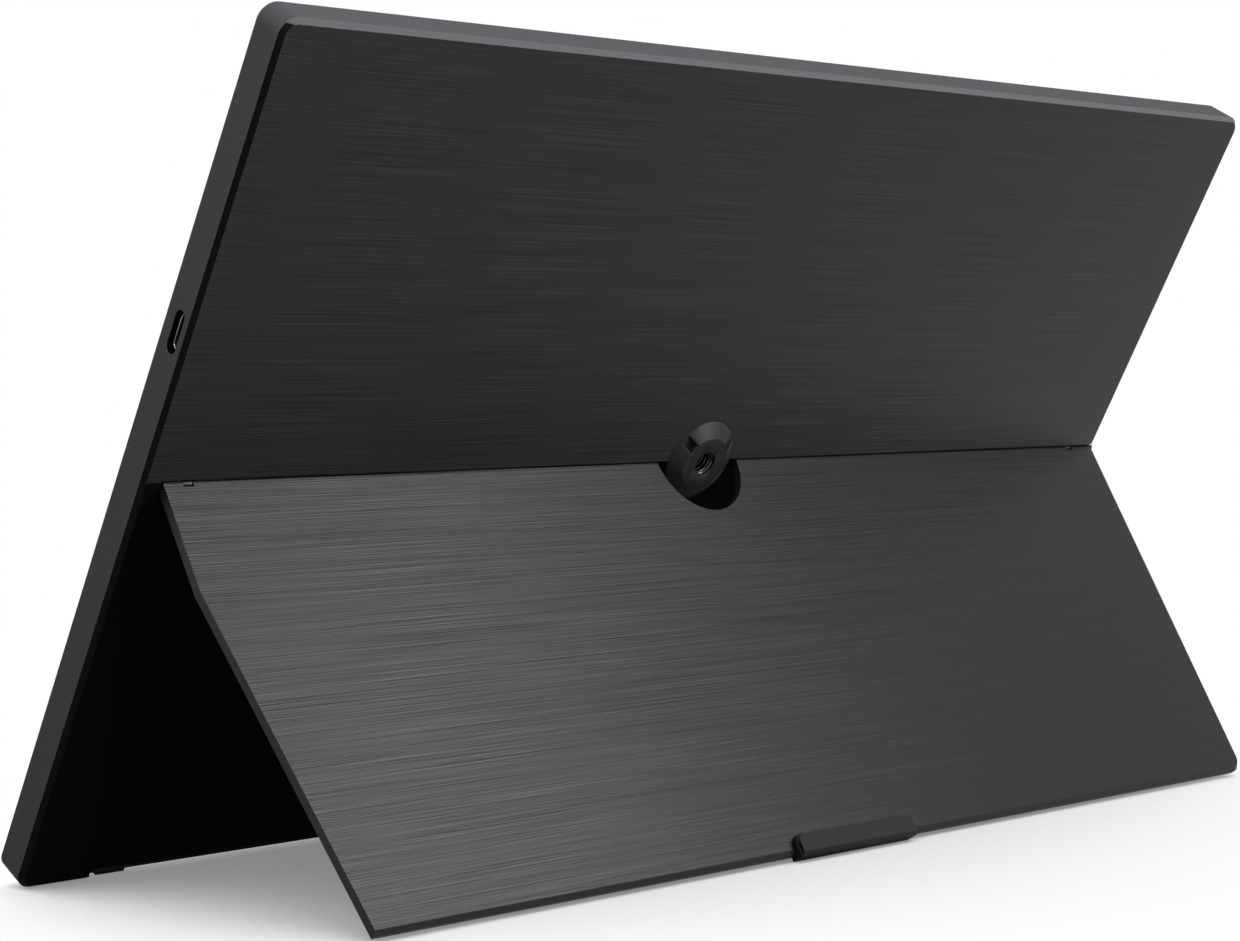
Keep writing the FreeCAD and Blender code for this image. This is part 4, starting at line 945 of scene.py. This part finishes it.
def screw_recipe() -> Recipe:
    """Pan-head screws with a cross recess, driven along Y, heads at their points."""
    recipe = Recipe("Screw_Set")
    names = ("Head Radius", "Head Rise", "Shank Radius", "Length", "Slot Width")
    radius, rise, shank, length, slot = map(recipe.size, names)
    rim = recipe.node("GeometryNodeMeshCylinder", {
        "Vertices": HEAD_SIDES, "Radius": radius, "Depth": rise * RIM_SHARE})
    dome = recipe.node("GeometryNodeMeshCone", {
        "Vertices": HEAD_SIDES, "Radius Top": radius * CROWN_SHARE, "Radius Bottom": radius,
        "Depth": rise * (1 - RIM_SHARE)})
    stem = recipe.node("GeometryNodeMeshCylinder", {
        "Vertices": SHANK_SIDES, "Radius": shank, "Depth": length})
    heights = (rise * (RIM_SHARE / 2 - 1), rise * (RIM_SHARE - 1), (rise * SHANK_START + length * 0.5) * -1.0)
    stack = [recipe.moved(part.outputs["Mesh"], recipe.triple(0.0, 0.0, height))
             for part, height in zip((rim, dome, stem), heights)]
    reach = radius * CROSS_SHARE
    bars = [recipe.node("GeometryNodeMeshCube", {"Size": recipe.triple(*sides, rise)}).outputs["Mesh"]
            for sides in ((reach, slot), (slot, reach))]
    cross = recipe.combined("DIFFERENCE", bars, {"Mesh 1": recipe.combined("UNION", stack)})
    driven = recipe.moved(cross, ZERO, (math.pi / 2, 0.0, 0.0))
    return recipe.close(recipe.repeated(recipe.start.outputs["Geometry"], driven))


def thread_recipe() -> Recipe:
    """A screw thread: one ridge wound round the Z axis."""
    recipe = Recipe("Thread")
    radius, pitch, turns, ridge = map(recipe.size, ("Radius", "Pitch", "Turns", "Ridge"))
    line = recipe.node("GeometryNodeCurveSpiral", {
        "Resolution": TURN_STEPS, "Rotations": turns, "Start Radius": radius, "End Radius": radius,
        "Height": pitch * turns})
    upright = recipe.node("GeometryNodeSetCurveNormal", {"Curve": line.outputs[0]}, mode="Z_UP")
    section = recipe.node("GeometryNodeCurvePrimitiveCircle", {"Resolution": 4, "Radius": ridge})
    wound = recipe.node("GeometryNodeCurveToMesh", {
        "Curve": upright.outputs[0], "Profile Curve": section.outputs["Curve"], "Fill Caps": True})
    return recipe.close(wound.outputs["Mesh"])


def contact_recipe() -> Recipe:
    """Rows of spring contacts on both faces of a tongue."""
    recipe = Recipe("Contact_Rows")
    count = recipe.size("Count", "NodeSocketInt")
    names = ("Pitch", "Long", "Wide", "Thick", "Tongue Thickness")
    pitch, long, wide, thick, gap = map(recipe.size, names)
    row = recipe.node("GeometryNodeMeshLine", {
        "Count": count, "Start Location": recipe.triple(0.0, 0.0, (count - 1) * pitch * -0.5),
        "Offset": recipe.triple(0.0, 0.0, pitch)})
    pad = recipe.node("GeometryNodeMeshCube", {"Size": recipe.triple(long, thick, wide)})
    pads = recipe.repeated(row.outputs["Mesh"], pad.outputs["Mesh"])
    sides = [recipe.moved(pads, recipe.triple(0.0, gap * half, 0.0)) for half in (0.5, -0.5)]
    return recipe.close(recipe.joined(*sides))


@dataclass
class Part:
    """What every sub-assembly has: the posture it stands in and the body it rides on."""

    posture: Posture
    body: Body = Body.DISPLAY

    def add(self, piece: Object, slot: str, *nodes: str) -> None:
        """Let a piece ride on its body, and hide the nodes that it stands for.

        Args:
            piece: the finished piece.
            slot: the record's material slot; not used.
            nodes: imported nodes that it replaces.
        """
        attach(piece, self.body.value)
        if nodes:
            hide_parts(*nodes)
        LOG.info("piece %s on %s: %d faces", piece.name, self.body.value, len(piece.data.polygons))


@dataclass
class CaseShell(Part):
    """Rear cover, front bezel and the rubber feet."""

    foot_round: float = 0.22

    def build(self) -> None:
        """Round the feet, and finish the cover and the bezel."""
        feet = eased_copy("bottom_feet", "Rubber_Feet", self.foot_round, RUBBER.make())
        self.add(feet, "foot_rubber", "bottom_feet")
        dress_nodes(CASE.make(self.posture), ["rear_cover"])
        dress_nodes(BEZEL_PLASTIC.make(), ["front_bezel"])


@dataclass
class ScreenModule(Part):
    """Screen glass, optical sheets, light guide, light strip and the tray behind them."""

    def build(self) -> None:
        """Finish the layers."""
        dress_nodes(SCREEN.make(self.posture), ["lcd_panel"])
        dress_nodes(PRISM.make(self.posture), ["prism_sheet", "diffuser_sheet"])
        dress_nodes(GUIDE.make(self.posture), ["light_guide"])
        dress_nodes(WHITE_FILM.make(self.posture), ["reflector_sheet"])
        dress_nodes(LAMPS.make(), ["led_strip"])
        dress_nodes(STEEL.make(), ["panel_tray"])


@dataclass
class Electronics(Part):
    """Boards, chips, shield, flat cables and their sockets."""

    def build(self) -> None:
        """Finish the boards and what is on them."""
        dress_nodes(BOARD.make(self.posture), ["main_board", "timing_board", "control_board"])
        dress_nodes(CHIP.make(), ["board_chips"])
        dress_nodes(TIN.make(), ["board_shield"])
        dress_nodes(CABLE.make(self.posture), ["panel_cable", "key_cable"])
        dress_nodes(SOCKET_PLASTIC.make(), ["cable_sockets"])
        dress_nodes(SWITCH_PLASTIC.make(), ["key_switches"])


@dataclass
class PortSocket(Part):
    """The power and picture port: rounded shell, tongue and its contacts."""

    shell_round: float = 0.09
    tongue_round: float = 0.12
    contact_count: int = 12
    contact_pitch: float = 0.5
    contact_wide: float = 0.3
    contact_long: float = 3.4
    contact_thick: float = 0.06
    contact_setback: float = 0.75

    def build(self) -> None:
        """Round the shell and the tongue, and lay the contacts on the tongue."""
        shell = eased_copy("usb_shell", "Port_Sleeve", self.shell_round, PORT_STEEL.make(), 2)
        self.add(shell, "port_steel", "usb_shell")
        tongue = eased_copy("usb_tongue", "Port_Tongue", self.tongue_round, PORT_PLASTIC.make(), 2)
        self.add(tongue, "port_plastic", "usb_tongue")
        low, high = islands("usb_tongue", self.posture)[0]
        mesh = contact_recipe().grow([ZERO], {
            "Count": self.contact_count, "Pitch": self.contact_pitch, "Long": self.contact_long,
            "Wide": self.contact_wide, "Thick": self.contact_thick, "Tongue Thickness": high.y - low.y,
            "Finish": GOLD.make()})
        spot = (low + high) / 2
        spot.x = high.x - self.contact_long * self.contact_setback
        mesh.transform(self.posture.matrix @ Matrix.Translation(spot))
        self.add(make_piece("Port_Contacts", mesh), "port_steel")


@dataclass
class TripodMount(Part):
    """The nose with its locating slots, and the threaded insert in it."""

    nose_round: float = 0.22
    insert_radius: float = 4.4
    insert_length: float = 5.6
    root_radius: float = 3.05
    blind: float = 0.5
    mouth_bevel: float = 0.3
    chamfer: float = 0.1
    core: float = 0.02
    drill_point: float = 0.25
    pitch: float = 1.27
    turns: float = 3.6
    ridge: float = 0.46
    thread_start: float = 0.45

    def build(self) -> None:
        """Round the nose's edges and cut the thread."""
        nose = eased_copy("tripod_nose", "Tripod_Nose", self.nose_round, NOSE_PLASTIC.make(), 3)
        self.add(nose, "nose_plastic", "tripod_nose")
        steel = INSERT_STEEL.make()
        rear = -self.insert_length
        floor = rear + self.blind
        wall = self.root_radius
        wide = self.insert_radius
        step = self.chamfer
        shape = turned([
            (wall + self.mouth_bevel, 0.0), (wide - step, 0.0), (wide, -step), (wide, rear),
            (self.core, rear), (self.core, floor - self.drill_point), (wall - step, floor),
            (wall, floor + step), (wall, -self.mouth_bevel)])
        mesh = bpy.data.meshes.new("insert")
        shape.to_mesh(mesh)
        shape.free()
        place = self.posture.matrix @ Matrix.Translation(SOCKET_MOUTH)
        mesh.transform(place)
        smooth(mesh, angle=30.0)
        insert = make_piece("Threaded_Insert", mesh, steel)
        self.add(insert, "insert_steel", "tripod_nut")
        mesh = thread_recipe().grow([ZERO], {
            "Radius": wall, "Pitch": self.pitch, "Turns": self.turns, "Ridge": self.ridge, "Finish": steel})
        start = Matrix.Translation((0.0, 0.0, self.thread_start))
        mesh.transform(place @ Matrix.Rotation(math.pi / 2, 4, "X") @ start)
        self.add(make_piece("Insert_Thread", mesh), "insert_steel")


@dataclass
class KeyRow:
    """Four keys in the side wall, each on a body of its own."""

    posture: Posture
    key_round: float = 0.3

    def build(self) -> None:
        """Round the keys."""
        material = KEY_PLASTIC.make()
        keys = {"power_key": Body.POWER, "menu_key": Body.MENU, "up_key": Body.UP, "down_key": Body.DOWN}
        for node, body in keys.items():
            cap = eased_copy(node, f"{node.title()}_Cap", self.key_round, material)
            Part(self.posture, body).add(cap, "key_plastic", node)


@dataclass
class ScrewSet(Part):
    """All screws of one node, with a cross recess in each head."""

    node: str = "bracket_screws"
    head_radius: float = 1.3
    head_rise: float = 0.5
    shank_radius: float = 0.6
    slot_width: float = 0.32

    def build(self, recipe: Recipe, material: Material) -> None:
        """Set a screw in the place of each solid of the node.

        Args:
            recipe: the tree that makes screws.
            material: their finish.
        """
        boxes = islands(self.node, self.posture)
        spots = [((low.x + high.x) / 2, low.y, (low.z + high.z) / 2) for low, high in boxes]
        low, high = boxes[0]
        mesh = recipe.grow(spots, {
            "Head Radius": self.head_radius, "Head Rise": self.head_rise, "Shank Radius": self.shank_radius,
            "Length": high.y - low.y - self.head_rise, "Slot Width": self.slot_width, "Finish": material})
        mesh.transform(self.posture.matrix)
        self.add(make_piece(self.node.title(), mesh), "screw_steel", self.node)


@dataclass
class Hinges:
    """Brackets, shafts and all the small screws."""

    case: Posture
    stand: Posture

    def build(self) -> None:
        """Set the screws, and finish brackets and shafts."""
        recipe = screw_recipe()
        material = SCREW_STEEL.make()
        for node in ("bracket_screws", "board_screws", "nose_screws"):
            ScrewSet(self.case, Body.DISPLAY, node).build(recipe, material)
        ScrewSet(self.stand, Body.STAND, "stand_screws").build(recipe, material)
        dress_nodes(HINGE_STEEL.make(), [
            "hinge_bracket_left", "hinge_bracket_right", "hinge_shaft_left", "hinge_shaft_right"])


@dataclass
class Kickstand(Part):
    """The stand's core, its brushed face sheet and the rubber pad at its foot."""

    body: Body = Body.STAND
    pad_round: float = 0.12

    def build(self) -> None:
        """Round the pad, and finish core and sheet."""
        pad = eased_copy("kickstand_pad", "Stand_Pad", self.pad_round, PAD_RUBBER.make(self.posture), 4)
        self.add(pad, "foot_rubber", "kickstand_pad")
        dress_nodes(STAND_PLASTIC.make(), ["kickstand_core"])
        dress_nodes(STAND_SHEET.make(self.posture), ["kickstand_skin"])


@dataclass(frozen=True)
class Lamp:
    """A soft square lamp."""

    name: str
    place: Triple
    aim: Triple
    side: float
    power: float

    def hang(self) -> None:
        """Put the lamp in the scene."""
        light = bpy.data.lights.new(self.name, "AREA")
        light.shape = "SQUARE"
        light.size = self.side
        light.energy = self.power
        lamp = bpy.data.objects.new(self.name, light)
        lamp.location = self.place
        lamp.rotation_euler = (Vector(self.aim) - Vector(self.place)).to_track_quat("-Z", "Y").to_euler()
        bpy.context.scene.collection.objects.link(lamp)


@dataclass
class Studio:
    """White surroundings, a pale floor, soft lamps and the camera."""

    floor_side: float = 12.0
    floor_colour: Colour = shade(150, 150, 150)
    ambient: float = 0.12
    contact: float = 0.26
    contact_colour: Colour = shade(128, 128, 130)
    contact_end: float = 0.85
    camera_place: Triple = (0.532789, 0.515067, 0.125185)
    camera_back: Triple = (0.69975, 0.71335, 0.03835)
    camera_right: Triple = (-0.71374, 0.70039, -0.00486)
    camera_up: Triple = (-0.03033, -0.02397, 0.99925)
    lens: float = 79.399
    lamps: tuple[Lamp, ...] = (
        Lamp("Lamp_Stand", (-0.46, 0.63, 0.6), (0.13, 0.06, 0.03), 0.42, 4.5),
        Lamp("Lamp_Key", (0.36, 0.37, 0.86), (0.0, 0.0, 0.1), 0.5, 10.0),
        Lamp("Lamp_Nose", (-0.29, 0.58, 0.11), (0.0, 0.0, 0.1), 0.2, 2.1),
        Lamp("Lamp_Port_Side", (0.6, 0.1, 0.55), (0.18, 0.03, 0.16), 0.3, 1.6),
    )

    def white_seen(self, tree: Tree) -> Value:
        """One for the rays that see the surroundings as white."""
        path = tree.node("ShaderNodeLightPath")
        seen = [Value(tree, path.outputs[ray.value]) for ray in Rays]
        return seen[0].larger(seen[1]).larger(seen[2])

    def light_world(self) -> None:
        """White to the eye and in reflections, a plain even light otherwise."""
        world = bpy.data.worlds.new("Studio_World")
        bpy.context.scene.world = world
        world.use_nodes = True
        tree = Tree(world.node_tree)
        world.node_tree.nodes.clear()
        white = tree.node("ShaderNodeBackground", {"Color": WHITE, "Strength": 1.0})
        even = tree.node("ShaderNodeBackground", {"Color": WHITE, "Strength": self.ambient})
        mixed = tree.node("ShaderNodeMixShader", {
            0: self.white_seen(tree), 1: even.outputs[0], 2: white.outputs[0]})
        tree.node("ShaderNodeOutputWorld", {"Surface": mixed.outputs[0]})

    def lay_floor(self) -> None:
        """A pale floor that keeps the shadow where the monitor stands on it."""
        half = self.floor_side / 2
        mesh = bpy.data.meshes.new("Studio_Floor")
        square = [(-half, -half, 0.0), (half, -half, 0.0), (half, half, 0.0), (-half, half, 0.0)]
        mesh.from_pydata(square, [], [(0, 1, 2, 3)])
        surface = Surface("Studio_Floor")
        clear = surface.openness(self.contact, samples=12).eased(0.0, self.contact_end)
        light = surface.blend(clear, self.contact_colour, WHITE)
        glow = surface.node("ShaderNodeEmission", {"Color": light, "Strength": 1.0})
        paper = surface.dress(Base_Color=self.floor_colour, Roughness=0.9)
        mixed = surface.node("ShaderNodeMixShader", {
            0: self.white_seen(surface), 1: surface.shader.outputs[0], 2: glow.outputs[0]})
        surface.feed(surface.tree.nodes["Material Output"].inputs["Surface"], mixed.outputs[0])
        make_piece("Studio_Floor", mesh, paper)

    def place_camera(self) -> None:
        """The camera where the photograph was taken from."""
        view = bpy.data.cameras.new("Camera")
        view.sensor_fit = "HORIZONTAL"
        view.sensor_width = 36.0
        view.lens = self.lens
        view.clip_start = 0.01
        camera = bpy.data.objects.new("Camera", view)
        axes = Matrix((self.camera_right, self.camera_up, self.camera_back)).transposed()
        camera.matrix_world = Matrix.Translation(self.camera_place) @ axes.to_4x4()
        bpy.context.scene.collection.objects.link(camera)
        bpy.context.scene.camera = camera

    def build(self) -> None:
        """Set up the whole studio."""
        bpy.context.scene.view_settings.view_transform = "Standard"
        self.light_world()
        self.lay_floor()
        for lamp in self.lamps:
            lamp.hang()
        self.place_camera()


@dataclass(frozen=True)
class Stance:
    """How the drawing's case and stand stand in the scene, read from the record."""

    hinge_drawn: Triple = (0.0, -1.25, 112.4)
    opening: float = math.radians(58.87)

    def read(self) -> tuple[Posture, Posture]:
        """The postures of the case and of the opened stand."""
        socket = next(mount for mount in frame["record"]["mounts"] if mount["name"] == "tripod_socket")
        hinge = next(joint for joint in frame["joints"] if joint["name"] == "kickstand_hinge")
        lean = math.atan2(-socket["axis"][2], socket["axis"][1])
        case = posture_about(socket["pos_m"], SOCKET_MOUTH, -lean)
        stand = posture_about(hinge["pos_m"], self.hinge_drawn, self.opening - lean)
        return case, stand


def main() -> None:
    """Build and dress every sub-assembly, then the studio."""
    logging.basicConfig(level=logging.INFO, format="%(message)s")
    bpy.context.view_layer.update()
    case, stand = Stance().read()
    for part in (CaseShell(case), ScreenModule(case), Electronics(case), PortSocket(case), TripodMount(case),
                 KeyRow(case), Hinges(case, stand), Kickstand(stand), Studio()):
        part.build()


if __name__ == "__main__":
    main()
